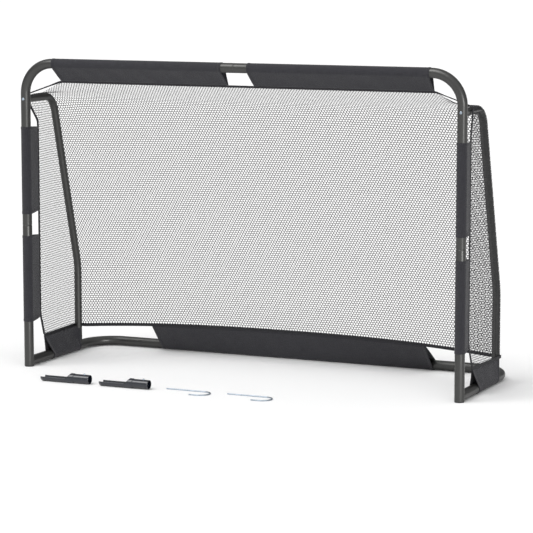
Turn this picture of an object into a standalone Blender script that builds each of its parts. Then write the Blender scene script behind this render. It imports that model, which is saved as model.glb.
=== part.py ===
"""Hockey goal: a knock-down steel tube frame with a sewn net, two ground spikes and two hook pegs.

Metres, +Z up. The goal stands on Z = 0 and opens towards -Y. X = 0 is its middle. The spikes and
the pegs lie on the floor in front of the goal line, and Y = 0 is the middle of the whole set.
"""

import math

import bmesh
import bpy
from mathutils import Vector

# ---------------------------------------------------------------- driving dimensions
GOAL_WIDTH = 1.860
GOAL_HEIGHT = 1.230
GOAL_DEPTH = 0.620
TUBE_R = 0.019
TUBE_WALL = 0.0012
STAY_R = 0.015
STAY_WALL = 0.0012
CLEARANCE = 0.0003
MERGE_DISTANCE = 0.00001
TOP_BEND_R = 0.120
BASE_BEND_R = 0.130
RAIL_Z = TUBE_R + 0.002

# Where the knock-down tubes part, and how far one goes into the other.
POST_JOINT_Z = 0.570
SPIGOT_LENGTH = 0.050
SWAGE_LENGTH = 0.004
STUB_LENGTH = 0.056
RAIL_STARTS_IN_POST = 0.2 * TUBE_R
STAY_ENDS_IN_TUBE = 0.4 * TUBE_R

# The bent stays: an arm at this height, a corner behind it, a slope, and an upright end.
ARM_BELOW_BEND = 0.021
STAY_TOP_Y = 0.215
STAY_TOP_BEND_R = 0.080
STAY_KNEE_Z = 0.361
STAY_KNEE_BEND_R = 0.250
STAY_FOOT_Y = 0.410

# Stay bolts and the plugs that they screw into.
BOLT_R = 0.003
BOLT_HEAD_R = 0.0055
BOLT_HEAD_HEIGHT = 0.0032
BOLT_REACH = 0.026
BOLT_DOME = ((0.0, 1.0), (0.5, 0.92), (0.85, 0.6), (1.0, 0.125))
BOLT_HOLE_GAP = 0.0004
NUT_PLUG_LENGTH = 0.024

# Foot plugs.
FOOT_FLANGE = 0.0025
FOOT_SPIGOT = 0.012
SPIGOT_CHAMFER = 0.001
FOOT_CHAMFER = 0.0006

# Spring buttons, measured outwards from the tube's axis, and the leaf spring under each.
BUTTON_R = 0.004
BUTTON_HOLE_GAP = 0.0003
BUTTON_PROUD = 0.0025
BUTTON_FLANGE_R = 0.0055
BUTTON_FLANGE_THICKNESS = 0.0014
BUTTON_FLANGE_INSIDE_BORE = 0.0019
BUTTON_INSET = 0.025
BUTTON_DOME = ((0.0, 0.0), (0.55, 0.0004), (0.9, 0.0014), (1.0, 0.0026))
DRILL_OVERRUN = 0.010
LEAF_WIDTH = 0.008
LEAF_THICKNESS = 0.0008
LEAF_LENGTH = 0.034
LEAF_INSIDE_BORE = 0.0021
LEAF_BEND = ((-0.6, 0.55), (-1.0, 0.0))
LEAF_RETURN = ((-0.9, 0.6), (-0.6, 1.0))

# Cloth sleeves, sewn edge binding and net.
SLEEVE_THICKNESS = 0.0012
SLEEVE_TIP = 0.0008
BINDING_R = 0.003
NET_THICKNESS = 0.002
NET_GAP = 0.001
TOP_EDGE_Y = 0.060
TOP_EDGE_BELOW_BAR = 0.074
SIDE_EDGE_Y = 0.094
BOTTOM_EDGE_Z = 0.105
REAR_EDGE_Y = 0.492
REAR_EDGE_Z = 0.126
CROSSBAR_SLEEVE_GAP = 0.054
BEND_TO_SLEEVE = 0.005
POST_SLEEVE_SPANS = {"upper": (0.614, 0.960), "lower": (0.182, 0.527)}
SIDE_SLEEVE_TOP = (0.128, 0.405)
SIDE_SLEEVE_START = 0.170
SIDE_SLEEVE_SHORT_OF_STAY = 0.010
REAR_SLEEVE_REACH = 0.600
SLEEVE_SLANT = 0.005

# How the net's edges and surfaces depart from the stays.
SEAM_GAP = 0.0003
EDGE_OUTSIDE_NET = 0.0018
PANEL_INSET = 0.026
REAR_EDGE_POWER = 2.5
SAG_STARTS_WITHIN = 0.25
MIDDLE_TOP_DROP = 0.002
MIDDLE_RIDGE_BACK = 0.010
MIDDLE_RIDGE_DROP = 0.008
MIDDLE_KNEE_BACK = 0.034
ARM_EDGE_RISE = 0.011
ARM_EDGE_FORWARD = 0.003
ARM_EDGE_DROP = 0.020
POST_EDGE_RISE = 0.018
CORNER_EDGE_RISE = 0.0072
EDGE_BENDS = (0.03, 0.05, 0.08)
TOP_EDGE_BENDS = (0.05, 0.05)
CORNER_LIFT = 0.001
EDGE_STEPS = 4
PANEL_BUNCHING = 1.5
PANEL_SPREAD_SHARE = 0.8
WRAP_BELOW_ARM = 0.0855
WRAP_HEIGHT = 0.045

# Ground spikes and hook pegs.
SPIKE_LENGTH = 0.207
SPIKE_NECK_LENGTH = 0.063
SPIKE_NECK_GAP = 0.0006
SPIKE_SHOULDER = 0.006
SPIKE_CHANNEL_START = 0.081
SPIKE_BUTTON_FROM_TOP = 0.024
TROUGH_CUT_R = 1.05 * TUBE_R
TROUGH_OVERRUN = 0.010
PEG_LENGTH = 0.200
PEG_WIRE_R = 0.0025
PEG_BEND_R = 0.036
PEG_SHORT_LEG = 0.033
KIT_AHEAD = 0.250
KIT_NECKS_X = (-0.500, -0.245)
PEG_CROWNS_X = (0.010, 0.265)

# ---------------------------------------------------------------- worked-out places
SETBACK = BINDING_R + CLEARANCE + SLEEVE_THICKNESS + SEAM_GAP
POST_X = GOAL_WIDTH / 2 - TUBE_R
BAR_Z = GOAL_HEIGHT - TUBE_R
REAR_BAR = GOAL_DEPTH - 2 * TUBE_R
CROSSBAR_SLEEVE_REACH = POST_X - TOP_BEND_R - BEND_TO_SLEEVE
STAY_ARM_Z = BAR_Z - TOP_BEND_R - ARM_BELOW_BEND
TOP_EDGE_Z = BAR_Z - TOP_EDGE_BELOW_BAR
SIDE_SLEEVE_RAIL = (SIDE_SLEEVE_START, STAY_FOOT_Y - SIDE_SLEEVE_SHORT_OF_STAY)
KIT_FRONT = KIT_AHEAD + PEG_BEND_R + PEG_WIRE_R
CLOTH_BACK = REAR_BAR + TUBE_R + CLEARANCE + SLEEVE_THICKNESS
POST_Y = (KIT_FRONT - CLOTH_BACK) / 2
SPIGOT_R = TUBE_R - TUBE_WALL - CLEARANCE
SPIGOT_BORE_R = SPIGOT_R - TUBE_WALL
BUTTON_FLANGE_FRONT = SPIGOT_BORE_R - BUTTON_FLANGE_INSIDE_BORE
BUTTON_FLANGE_BACK = BUTTON_FLANGE_FRONT - BUTTON_FLANGE_THICKNESS
LEAF_LOW = LEAF_INSIDE_BORE - SPIGOT_BORE_R
SPIKE_NECK_R = TUBE_R - TUBE_WALL - SPIKE_NECK_GAP
STAY_STUB_R = STAY_R - STAY_WALL - CLEARANCE
WELD_R = TUBE_R - TUBE_WALL / 2
NET_OFFSET = STAY_R + NET_GAP + NET_THICKNESS / 2
EDGE_X = POST_X + NET_OFFSET + EDGE_OUTSIDE_NET
TUBE_SIDES = 12
SIDES = {"left": -1, "right": 1}

# Finishes: colour, roughness, metallic.
FRAME_PAINT = ((0.055, 0.055, 0.052), 0.38, 0.6)
BLACK_PAINT = ((0.007, 0.009, 0.014), 0.25, 0.0)
ZINC = ((0.45, 0.47, 0.50), 0.35, 1.0)
SPRING_STEEL = ((0.30, 0.30, 0.30), 0.40, 1.0)
BLACK_PLASTIC = ((0.012, 0.012, 0.012), 0.55, 0.0)
SLEEVE_CLOTH = ((0.052, 0.050, 0.056), 0.85, 0.0)
BINDING_TAPE = ((0.020, 0.019, 0.022), 0.80, 0.0)
NET_CORD = ((0.050, 0.050, 0.052), 0.75, 0.0)

for old in list(bpy.data.objects):
    bpy.data.objects.remove(old)
goal = bpy.data.collections.new("hockey_goal")
cutters = bpy.data.collections.new("cutters")
bpy.context.scene.collection.children.link(goal)
bpy.context.scene.collection.children.link(cutters)


# ---------------------------------------------------------------- helpers
def at(x, y, z):
    """A point given with Y counted back from the posts' axes."""
    return Vector((x, y + POST_Y, z))


def finished(name, mesh, finish):
    """A part of the goal with its own material; a piece with no finish is a hidden cutter."""
    thing = bpy.data.objects.new(name, mesh)
    if finish is None:
        cutters.objects.link(thing)
        thing.hide_render = True
        thing.display_type = "WIRE"
        return thing
    colour, roughness, metallic = finish
    material = bpy.data.materials.new(name)
    material.use_nodes = True
    shader = material.node_tree.nodes["Principled BSDF"]
    shader.inputs["Base Color"].default_value = (*colour, 1)
    shader.inputs["Roughness"].default_value = roughness
    shader.inputs["Metallic"].default_value = metallic
    mesh.materials.append(material)
    goal.objects.link(thing)
    mesh.shade_smooth()
    mesh.set_sharp_from_angle(angle=math.radians(35))
    return thing


def rounded_path(corners, radii, steps):
    """The polyline through corners, with each inner corner an arc of the given radius."""
    path = [Vector(corners[0])]
    for before, corner, after, radius in zip(corners, corners[1:], corners[2:], radii):
        corner = Vector(corner)
        back = (Vector(before) - corner).normalized()
        ahead = (Vector(after) - corner).normalized()
        half = back.angle(ahead) / 2
        centre = corner + (back + ahead).normalized() * radius / math.sin(half)
        first = corner + back * radius / math.tan(half) - centre
        last = corner + ahead * radius / math.tan(half) - centre
        turn = first.angle(last)
        for k in range(steps + 1):
            share = k / steps * turn
            spoke = first * math.sin(turn - share) + last * math.sin(share)
            path.append(centre + spoke / math.sin(turn))
    path.append(Vector(corners[-1]))
    return path


def swept(name, path, radius, finish, sides=TUBE_SIDES, shares=None, wall=None):
    """A round bar along a path, or a tube when it has a wall; shares scale its radius by point."""
    curve = bpy.data.curves.new(name, "CURVE")
    curve.dimensions = "3D"
    curve.bevel_depth = radius
    curve.bevel_resolution = sides // 2 - 2
    curve.use_fill_caps = wall is None
    spline = curve.splines.new("POLY")
    spline.points.add(len(path) - 1)
    for k, place in enumerate(path):
        spline.points[k].co = (*place, 1)
        spline.points[k].radius = shares[k] if shares else 1
    guide = bpy.data.objects.new(name + "_guide", curve)
    cutters.objects.link(guide)
    seen = guide.evaluated_get(bpy.context.evaluated_depsgraph_get())
    mesh = bpy.data.meshes.new_from_object(seen)
    mesh.materials.clear()
    bpy.data.objects.remove(guide)
    shape = bmesh.new()
    shape.from_mesh(mesh)
    bmesh.ops.remove_doubles(shape, verts=shape.verts, dist=MERGE_DISTANCE)
    bmesh.ops.recalc_face_normals(shape, faces=shape.faces)
    shape.to_mesh(mesh)
    shape.free()
    thing = finished(name, mesh, finish)
    if wall:
        shell = thing.modifiers.new("wall", "SOLIDIFY")
        shell.thickness = wall
        shell.offset = -1
        shell.use_even_offset = True
    return thing


def swaged(path, direction, share):
    """Adds a necked-down spigot to a path's end, and gives the radius share of every point."""
    end = path[-1]
    neck = [end + direction * SWAGE_LENGTH, end + direction * (SWAGE_LENGTH + SPIGOT_LENGTH)]
    return path + neck, [1] * len(path) + [share, share]


def rod(name, start, end, radius, finish=None, sides=TUBE_SIDES):
    """A straight round bar between two points."""
    start, end = Vector(start), Vector(end)
    shape = bmesh.new()
    bmesh.ops.create_cone(
        shape,
        cap_ends=True,
        segments=sides,
        radius1=radius,
        radius2=radius,
        depth=(end - start).length,
    )
    mesh = bpy.data.meshes.new(name)
    shape.to_mesh(mesh)
    shape.free()
    thing = finished(name, mesh, finish)
    thing.location = (start + end) / 2
    thing.rotation_euler = (end - start).to_track_quat("Z", "Y").to_euler()
    return thing


def combined(thing, other, operation):
    """Cuts a piece with another, or welds another to it."""
    step = thing.modifiers.new(operation.lower(), "BOOLEAN")
    step.operation = operation
    step.solver = "EXACT"
    step.object = other


def turned(name, profile, place, direction, finish, sides=TUBE_SIDES, ring=False):
    """A turned piece: a profile of (radius, height) down its outer side, spun about direction."""
    mesh = bpy.data.meshes.new(name)
    edges = [(k, k + 1) for k in range(len(profile) - 1)]
    if ring:
        edges.append((len(profile) - 1, 0))
    mesh.from_pydata([(radius, 0, height) for radius, height in profile], edges, [])
    thing = finished(name, mesh, finish)
    spin = thing.modifiers.new("spin", "SCREW")
    spin.steps = spin.render_steps = sides
    spin.use_merge_vertices = True
    spin.merge_threshold = MERGE_DISTANCE
    spin.use_smooth_shade = True
    thing.location = place
    thing.rotation_euler = Vector(direction).to_track_quat("Z", "Y").to_euler()
    return thing


def sheet(name, rows, finish, thickness, offset, closed=False):
    """A skin through rows of points, thickened; closed joins each row's end to its start."""
    shape = bmesh.new()
    lines = [[shape.verts.new(place) for place in row] for row in rows]
    count = len(rows[0])
    for low, high in zip(lines, lines[1:]):
        for k in range(count if closed else count - 1):
            after = (k + 1) % count
            shape.faces.new((low[k], low[after], high[after], high[k]))
    if closed:
        bmesh.ops.recalc_face_normals(shape, faces=shape.faces)
    mesh = bpy.data.meshes.new(name)
    shape.to_mesh(mesh)
    shape.free()
    thing = finished(name, mesh, finish)
    skin = thing.modifiers.new("thickness", "SOLIDIFY")
    skin.thickness = thickness
    skin.offset = offset
    skin.use_even_offset = True
    return thing


# ---------------------------------------------------------------- spring buttons
def snap_button(name, centre, out, along, holed):
    """A button through the walls at centre, its leaf spring, and a hole in each tube in holed."""
    out, lengthways = Vector(out).normalized(), Vector(along).normalized()
    crown = TUBE_R + BUTTON_PROUD
    profile = [
        *((BUTTON_R * share, crown - drop) for share, drop in BUTTON_DOME),
        (BUTTON_R, BUTTON_FLANGE_FRONT),
        (BUTTON_FLANGE_R, BUTTON_FLANGE_FRONT),
        (BUTTON_FLANGE_R, BUTTON_FLANGE_BACK),
        (0, BUTTON_FLANGE_BACK),
    ]
    turned("snap_button_" + name, profile, centre, out, ZINC)
    across = out.cross(lengthways)
    top = BUTTON_FLANGE_BACK - CLEARANCE - LEAF_THICKNESS / 2
    outline = [
        (BUTTON_FLANGE_R, top),
        *((LEAF_LENGTH * along, top * up) for along, up in LEAF_BEND),
        *((LEAF_LENGTH * along, LEAF_LOW * down) for along, down in LEAF_RETURN),
        (BUTTON_FLANGE_R, LEAF_LOW),
    ]
    rows = [
        [
            centre + lengthways * length + out * height + across * side * LEAF_WIDTH / 2
            for side in (-1, 1)
        ]
        for length, height in outline
    ]
    sheet("leaf_spring_" + name, rows, SPRING_STEEL, LEAF_THICKNESS, 0)
    drill = rod(
        "drill_" + name,
        centre + out * BUTTON_FLANGE_BACK,
        centre + out * (TUBE_R + DRILL_OVERRUN),
        BUTTON_R + BUTTON_HOLE_GAP,
    )
    for tube in holed:
        combined(tube, drill, "DIFFERENCE")


# ---------------------------------------------------------------- front frame
NECK = SPIGOT_R / TUBE_R
UP, DOWN, BACK = Vector((0, 0, 1)), Vector((0, 0, -1)), Vector((0, 1, 0))


def upper_corner_tube(side, sign):
    """Half of the crossbar, its bend and the top of the post, in one bent tube."""
    middle = -SWAGE_LENGTH if side == "left" else CLEARANCE
    corners = [
        at(sign * POST_X, 0, POST_JOINT_Z + CLEARANCE),
        at(sign * POST_X, 0, BAR_Z),
        at(middle, 0, BAR_Z),
    ]
    path = rounded_path(corners, [TOP_BEND_R], 8)
    shares = None
    if side == "left":
        path, shares = swaged(path, Vector((1, 0, 0)), NECK)
    tube = swept(
        "upper_corner_tube_" + side, path, TUBE_R, FRAME_PAINT, shares=shares, wall=TUBE_WALL
    )
    drill = rod(
        "bolt_drill_" + side,
        at(sign * POST_X, -2 * TUBE_R, STAY_ARM_Z),
        at(sign * POST_X, 2 * TUBE_R, STAY_ARM_Z),
        BOLT_R + BOLT_HOLE_GAP,
    )
    combined(tube, drill, "DIFFERENCE")
    return tube


def lower_post(side, sign):
    """The foot of a post, with a spigot at its top and a stub welded on for the side rail."""
    foot = at(sign * POST_X, 0, FOOT_FLANGE + CLEARANCE)
    path, shares = swaged([foot, at(sign * POST_X, 0, POST_JOINT_Z - SWAGE_LENGTH)], UP, NECK)
    post = swept("lower_post_" + side, path, TUBE_R, FRAME_PAINT, shares=shares, wall=TUBE_WALL)
    stub_path = [at(sign * POST_X, 0, RAIL_Z), at(sign * POST_X, TUBE_R + STUB_LENGTH, RAIL_Z)]
    stub = swept("rail_stub_" + side, stub_path, SPIGOT_R, None, wall=TUBE_WALL)
    cope = rod(
        "stub_cope_" + side,
        at(sign * POST_X, 0, -TUBE_R),
        at(sign * POST_X, 0, 4 * TUBE_R),
        WELD_R,
    )
    combined(stub, cope, "DIFFERENCE")
    combined(post, stub, "UNION")
    height = FOOT_FLANGE + SPIKE_NECK_LENGTH - SPIKE_BUTTON_FROM_TOP
    spike_hole = rod(
        "spike_hole_" + side,
        at(sign * POST_X - 2 * TUBE_R, 0, height),
        at(sign * POST_X, 0, height),
        BUTTON_R + BUTTON_HOLE_GAP,
    )
    combined(post, spike_hole, "DIFFERENCE")
    return post


def foot_plug(side, sign):
    """A moulded plug that closes the post and stands on the floor."""
    profile = [
        (0, FOOT_FLANGE + FOOT_SPIGOT),
        (SPIGOT_R - SPIGOT_CHAMFER, FOOT_FLANGE + FOOT_SPIGOT),
        (SPIGOT_R, FOOT_FLANGE + FOOT_SPIGOT - SPIGOT_CHAMFER),
        (SPIGOT_R, FOOT_FLANGE),
        (TUBE_R, FOOT_FLANGE),
        (TUBE_R - FOOT_CHAMFER, 0),
        (0, 0),
    ]
    turned("foot_plug_" + side, profile, at(sign * POST_X, 0, 0), UP, BLACK_PLASTIC)


# ---------------------------------------------------------------- base and stays
def base_corner_tube(side, sign):
    """A side rail, its rear bend and half of the rear bar, with a stub welded on for the stay."""
    middle = -SWAGE_LENGTH if side == "left" else CLEARANCE
    corners = [
        at(sign * POST_X, RAIL_STARTS_IN_POST, RAIL_Z),
        at(sign * POST_X, REAR_BAR, RAIL_Z),
        at(middle, REAR_BAR, RAIL_Z),
    ]
    path = rounded_path(corners, [BASE_BEND_R], 8)
    shares = None
    if side == "left":
        path, shares = swaged(path, Vector((1, 0, 0)), NECK)
    tube = swept(
        "base_corner_tube_" + side, path, TUBE_R, FRAME_PAINT, shares=shares, wall=TUBE_WALL
    )
    cope = rod(
        "rail_cope_" + side,
        at(sign * POST_X, 0, -TUBE_R),
        at(sign * POST_X, 0, 4 * TUBE_R),
        TUBE_R + CLEARANCE,
    )
    combined(tube, cope, "DIFFERENCE")
    stub_path = [
        at(sign * POST_X, STAY_FOOT_Y, RAIL_Z),
        at(sign * POST_X, STAY_FOOT_Y, RAIL_Z + TUBE_R + STUB_LENGTH),
    ]
    stub = swept("stay_stub_" + side, stub_path, STAY_STUB_R, None, wall=STAY_WALL)
    weld = rod(
        "stay_weld_" + side,
        at(sign * POST_X, STAY_FOOT_Y - 3 * STAY_R, RAIL_Z),
        at(sign * POST_X, STAY_FOOT_Y + 3 * STAY_R, RAIL_Z),
        WELD_R,
    )
    combined(stub, weld, "DIFFERENCE")
    combined(tube, stub, "UNION")
    return tube


STAY_CORNERS = [
    (STAY_ENDS_IN_TUBE, STAY_ARM_Z),
    (STAY_TOP_Y, STAY_ARM_Z),
    (STAY_FOOT_Y, STAY_KNEE_Z),
    (STAY_FOOT_Y, RAIL_Z + STAY_ENDS_IN_TUBE),
]


def stay_tube(side, sign):
    """The bent stay, coped to the post at its front end and to the side rail at its foot."""
    corners = [at(sign * POST_X, y, z) for y, z in STAY_CORNERS]
    path = rounded_path(corners, [STAY_TOP_BEND_R, STAY_KNEE_BEND_R], 6)
    tube = swept("stay_tube_" + side, path, STAY_R, FRAME_PAINT, wall=STAY_WALL)
    post_cope = rod(
        "stay_post_cope_" + side,
        at(sign * POST_X, 0, STAY_ARM_Z - 3 * STAY_R),
        at(sign * POST_X, 0, STAY_ARM_Z + 3 * STAY_R),
        TUBE_R + CLEARANCE,
    )
    rail_cope = rod(
        "stay_rail_cope_" + side,
        at(sign * POST_X, STAY_FOOT_Y - 3 * STAY_R, RAIL_Z),
        at(sign * POST_X, STAY_FOOT_Y + 3 * STAY_R, RAIL_Z),
        TUBE_R + CLEARANCE,
    )
    combined(tube, post_cope, "DIFFERENCE")
    combined(tube, rail_cope, "DIFFERENCE")


def stay_fasteners(side, sign):
    """The bolt through the post, and the threaded plug in the stay's front end."""
    face = at(sign * POST_X, -TUBE_R - CLEARANCE, STAY_ARM_Z)
    profile = [
        *((BOLT_HEAD_R * out, BOLT_HEAD_HEIGHT * up) for out, up in BOLT_DOME),
        (BOLT_HEAD_R, 0),
        (BOLT_R, 0),
        (BOLT_R, -2 * TUBE_R - BOLT_REACH),
        (0, -2 * TUBE_R - BOLT_REACH),
    ]
    turned("stay_bolt_" + side, profile, face, -BACK, ZINC)
    bore = BOLT_R + CLEARANCE
    plug_r = STAY_R - STAY_WALL - CLEARANCE
    plug = [(plug_r, NUT_PLUG_LENGTH), (plug_r, 0), (bore, 0), (bore, NUT_PLUG_LENGTH)]
    back_of_post = at(sign * POST_X, TUBE_R + 2 * CLEARANCE, STAY_ARM_Z)
    turned("stay_nut_plug_" + side, plug, back_of_post, BACK, BLACK_PLASTIC, ring=True)


# ---------------------------------------------------------------- cloth sleeves
def sleeve(name, tube_ends, edge, rings=1, sides=10):
    """A strip of cloth folded round a tube, its two sewn sides meeting along the net's edge.

    The section is an arc round the tube and two straight sides that run to the tip. edge gives the
    point of the net's edge at a share of the sleeve's length.
    """
    start, end = (Vector(point) for point in tube_ends)
    along = (end - start).normalized()
    rows = []
    for ring in range(rings + 1):
        share = ring / rings
        centre = start.lerp(end, share)
        reach = edge(share) - centre
        slant = reach.dot(along)
        out = reach - along * slant
        height = out.length - SETBACK
        out.normalize()
        across = along.cross(out)
        opening = math.acos((TUBE_R + CLEARANCE) / height)
        step = (2 * math.pi - 2 * opening) / sides
        radius = (TUBE_R + CLEARANCE) / math.cos(step / 2)
        section = [(height, -SLEEVE_TIP), (height, SLEEVE_TIP)]
        for k in range(sides + 1):
            angle = opening + k * step
            section.append((radius * math.cos(angle), radius * math.sin(angle)))
        rows.append(
            [
                centre + out * x + across * y + along * slant * max(0, x / height)
                for x, y in section
            ]
        )
    return sheet(name, rows, SLEEVE_CLOTH, SLEEVE_THICKNESS, 1, closed=True)


def straight(start, end):
    """The point at a share of the way along a straight edge."""
    return lambda share: start.lerp(end, share)


def all_sleeves():
    """Two sleeves on the crossbar, two on each post, one on each side rail, one on the rear bar."""
    for side, sign in SIDES.items():
        near, far = sign * CROSSBAR_SLEEVE_GAP, sign * CROSSBAR_SLEEVE_REACH
        slant = sign * SLEEVE_SLANT
        sleeve(
            "crossbar_sleeve_" + side,
            [at(near, 0, BAR_Z), at(far, 0, BAR_Z)],
            straight(at(near, TOP_EDGE_Y, TOP_EDGE_Z), at(far - slant, TOP_EDGE_Y, TOP_EDGE_Z)),
        )
        x = sign * POST_X
        for part, (low, high) in POST_SLEEVE_SPANS.items():
            sleeve(
                f"post_sleeve_{part}_{side}",
                [at(x, 0, low), at(x, 0, high)],
                straight(
                    at(x, SIDE_EDGE_Y, low + SLEEVE_SLANT), at(x, SIDE_EDGE_Y, high - SLEEVE_SLANT)
                ),
            )
        front, rear = SIDE_SLEEVE_TOP
        cloth = sleeve(
            "side_sleeve_" + side,
            [at(x, SIDE_SLEEVE_RAIL[0], RAIL_Z), at(x, SIDE_SLEEVE_RAIL[1], RAIL_Z)],
            straight(
                at(x + sign * BINDING_R, front, BOTTOM_EDGE_Z),
                at(x + sign * NET_OFFSET, rear, BOTTOM_EDGE_Z),
            ),
            rings=4,
        )
        slit = rod(
            "sleeve_slit_" + side,
            at(x, STAY_FOOT_Y, RAIL_Z + STAY_ENDS_IN_TUBE),
            at(x, STAY_FOOT_Y, 2 * BOTTOM_EDGE_Z),
            STAY_R + 2 * CLEARANCE,
        )
        combined(cloth, slit, "DIFFERENCE")
    reach = REAR_SLEEVE_REACH
    sleeve(
        "rear_sleeve",
        [at(-reach, REAR_BAR, RAIL_Z), at(reach, REAR_BAR, RAIL_Z)],
        lambda share: rear_edge((2 * share - 1) * reach),
        rings=8,
    )


# ---------------------------------------------------------------- net and its binding
NET_FLAT = POST_X - PANEL_INSET
NET_AHEAD = 2 * BINDING_R
NET_ROWS = 20
NET_COLUMNS = 20
BEND_STEPS = 6
SLOPE = math.atan2(STAY_ARM_Z - STAY_KNEE_Z, STAY_FOOT_Y - STAY_TOP_Y)
RIDGE_SHIFT = NET_OFFSET * math.tan(SLOPE / 2)
KNEE_SHIFT = NET_OFFSET * math.tan((math.pi / 2 - SLOPE) / 2)
NET_BENDS = [STAY_TOP_BEND_R + NET_OFFSET, STAY_KNEE_BEND_R + NET_OFFSET]
SIDE_PROFILE = [
    (TOP_EDGE_Y + NET_AHEAD, STAY_ARM_Z + NET_OFFSET),
    (STAY_TOP_Y + RIDGE_SHIFT, STAY_ARM_Z + NET_OFFSET),
    (STAY_FOOT_Y + NET_OFFSET, STAY_KNEE_Z + KNEE_SHIFT),
    (STAY_FOOT_Y + NET_OFFSET, BOTTOM_EDGE_Z + NET_AHEAD),
]
MIDDLE_PROFILE = [
    (TOP_EDGE_Y + NET_AHEAD, TOP_EDGE_Z - MIDDLE_TOP_DROP),
    (STAY_TOP_Y + MIDDLE_RIDGE_BACK, STAY_ARM_Z - MIDDLE_RIDGE_DROP),
    (STAY_FOOT_Y + MIDDLE_KNEE_BACK, STAY_KNEE_Z),
    (REAR_EDGE_Y, REAR_EDGE_Z + NET_AHEAD),
]


def rear_edge(x):
    """The bottom edge behind the goal: pulled back and up towards the middle by the rear sleeve."""
    share = 1 - (min(abs(x), NET_FLAT) / NET_FLAT) ** REAR_EDGE_POWER
    corner = at(x, STAY_FOOT_Y + NET_OFFSET, BOTTOM_EDGE_Z)
    return corner.lerp(at(x, REAR_EDGE_Y, REAR_EDGE_Z), share)


def net_back():
    """Roof and back in one panel, over and behind the stays, slacker in the middle."""
    outer = rounded_path([at(0, y, z) for y, z in SIDE_PROFILE], NET_BENDS, BEND_STEPS)
    middle = rounded_path([at(0, y, z) for y, z in MIDDLE_PROFILE], NET_BENDS, BEND_STEPS)
    wide = POST_X + NET_OFFSET - NET_THICKNESS / 2 - CLEARANCE
    diagonal = NET_FLAT - CROSSBAR_SLEEVE_REACH
    rows = []
    for k in range(NET_COLUMNS + 1):
        x = (2 * k / NET_COLUMNS - 1) * wide
        top = min(1, max(0, (NET_FLAT - abs(x)) / diagonal))
        low = 1 - (min(abs(x), NET_FLAT) / NET_FLAT) ** REAR_EDGE_POWER
        row = []
        for step, (edge, mid) in enumerate(zip(outer, middle)):
            down = step / (len(outer) - 1)
            place = edge.lerp(mid, top + (low - top) * min(1, down / SAG_STARTS_WITHIN))
            row.append(Vector((x, place.y, place.z)))
        rows.append(row)
    sheet("net_back", rows, NET_CORD, NET_THICKNESS, 0)


def front_edge(sign, ahead=0.0):
    """The net's edge behind a post: round the stay's arm, down the post's sleeves, and forward."""
    x, wide = sign * POST_X, sign * EDGE_X
    corners = [
        at(wide, TOP_EDGE_Y + ahead, STAY_ARM_Z + ARM_EDGE_RISE),
        at(wide, TOP_EDGE_Y - ARM_EDGE_FORWARD + ahead, STAY_ARM_Z - ARM_EDGE_DROP),
        at(x, SIDE_EDGE_Y + ahead, POST_SLEEVE_SPANS["upper"][1] + POST_EDGE_RISE),
        at(x, SIDE_EDGE_Y + ahead, POST_SLEEVE_SPANS["lower"][0] + POST_EDGE_RISE),
        at(x + sign * BINDING_R, SIDE_SLEEVE_TOP[0] + ahead, BOTTOM_EDGE_Z + CORNER_EDGE_RISE),
    ]
    return rounded_path(corners, EDGE_BENDS, EDGE_STEPS)


def net_side(side, sign):
    """A side panel from the post's sleeves to the outside of the stay."""
    rear_line = rounded_path([at(0, y, z) for y, z in SIDE_PROFILE], NET_BENDS, BEND_STEPS)[1:]
    front_line = front_edge(sign, NET_AHEAD)
    rows = []
    for k in range(NET_ROWS + 1):
        share = (k / NET_ROWS) ** PANEL_BUNCHING
        front, rear = along_corners(front_line, share), along_corners(rear_line, share)
        rear.z = min(rear.z, STAY_ARM_Z + NET_OFFSET - NET_THICKNESS)
        row = []
        for step in range(6):
            place = front.lerp(rear, step / 5)
            lift = min(1, max(0, (place.z - STAY_ARM_Z + WRAP_BELOW_ARM) / WRAP_HEIGHT))
            offset = NET_OFFSET * max(min(1, step / 5 / PANEL_SPREAD_SHARE), lift)
            row.append(Vector((sign * (POST_X + offset), place.y, place.z)))
        rows.append(row)
    sheet("net_side_" + side, rows, NET_CORD, NET_THICKNESS, 0)


def along_corners(corners, share):
    """The point at a share of a polyline's length."""
    points = [Vector(corner) for corner in corners]
    lengths = [(b - a).length for a, b in zip(points, points[1:])]
    left = share * sum(lengths)
    for a, b, length in zip(points, points[1:], lengths):
        if left <= length:
            return a.lerp(b, left / length)
        left -= length
    return points[-1]


def binding(name, path):
    """Tape folded over the net's edge, as a plain round cord."""
    swept(name, path, BINDING_R, BINDING_TAPE, sides=8)


def all_bindings():
    """The tape along the roof's edge, down behind each post, and round the bottom."""
    corner_x, corner_z = POST_X + STAY_R, STAY_ARM_Z + STAY_R + BINDING_R + CORNER_LIFT
    top = [
        at(-corner_x, TOP_EDGE_Y, corner_z),
        at(-CROSSBAR_SLEEVE_REACH, TOP_EDGE_Y, TOP_EDGE_Z),
        at(CROSSBAR_SLEEVE_REACH, TOP_EDGE_Y, TOP_EDGE_Z),
        at(corner_x, TOP_EDGE_Y, corner_z),
    ]
    binding("binding_top", rounded_path(top, TOP_EDGE_BENDS, EDGE_STEPS))
    for side, sign in SIDES.items():
        x, wide = sign * POST_X, sign * EDGE_X
        binding("binding_front_" + side, front_edge(sign))
        bottom = [
            at(x + sign * BINDING_R, SIDE_SLEEVE_TOP[0], BOTTOM_EDGE_Z),
            at(wide, STAY_FOOT_Y - 2 * STAY_R, BOTTOM_EDGE_Z),
            at(wide, STAY_FOOT_Y + NET_OFFSET, BOTTOM_EDGE_Z),
        ]
        binding("binding_bottom_" + side, bottom)
    wide = POST_X + STAY_R - BINDING_R
    behind = [rear_edge(wide * (k / 8 - 1)) for k in range(17)]
    binding("binding_rear", behind)


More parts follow.
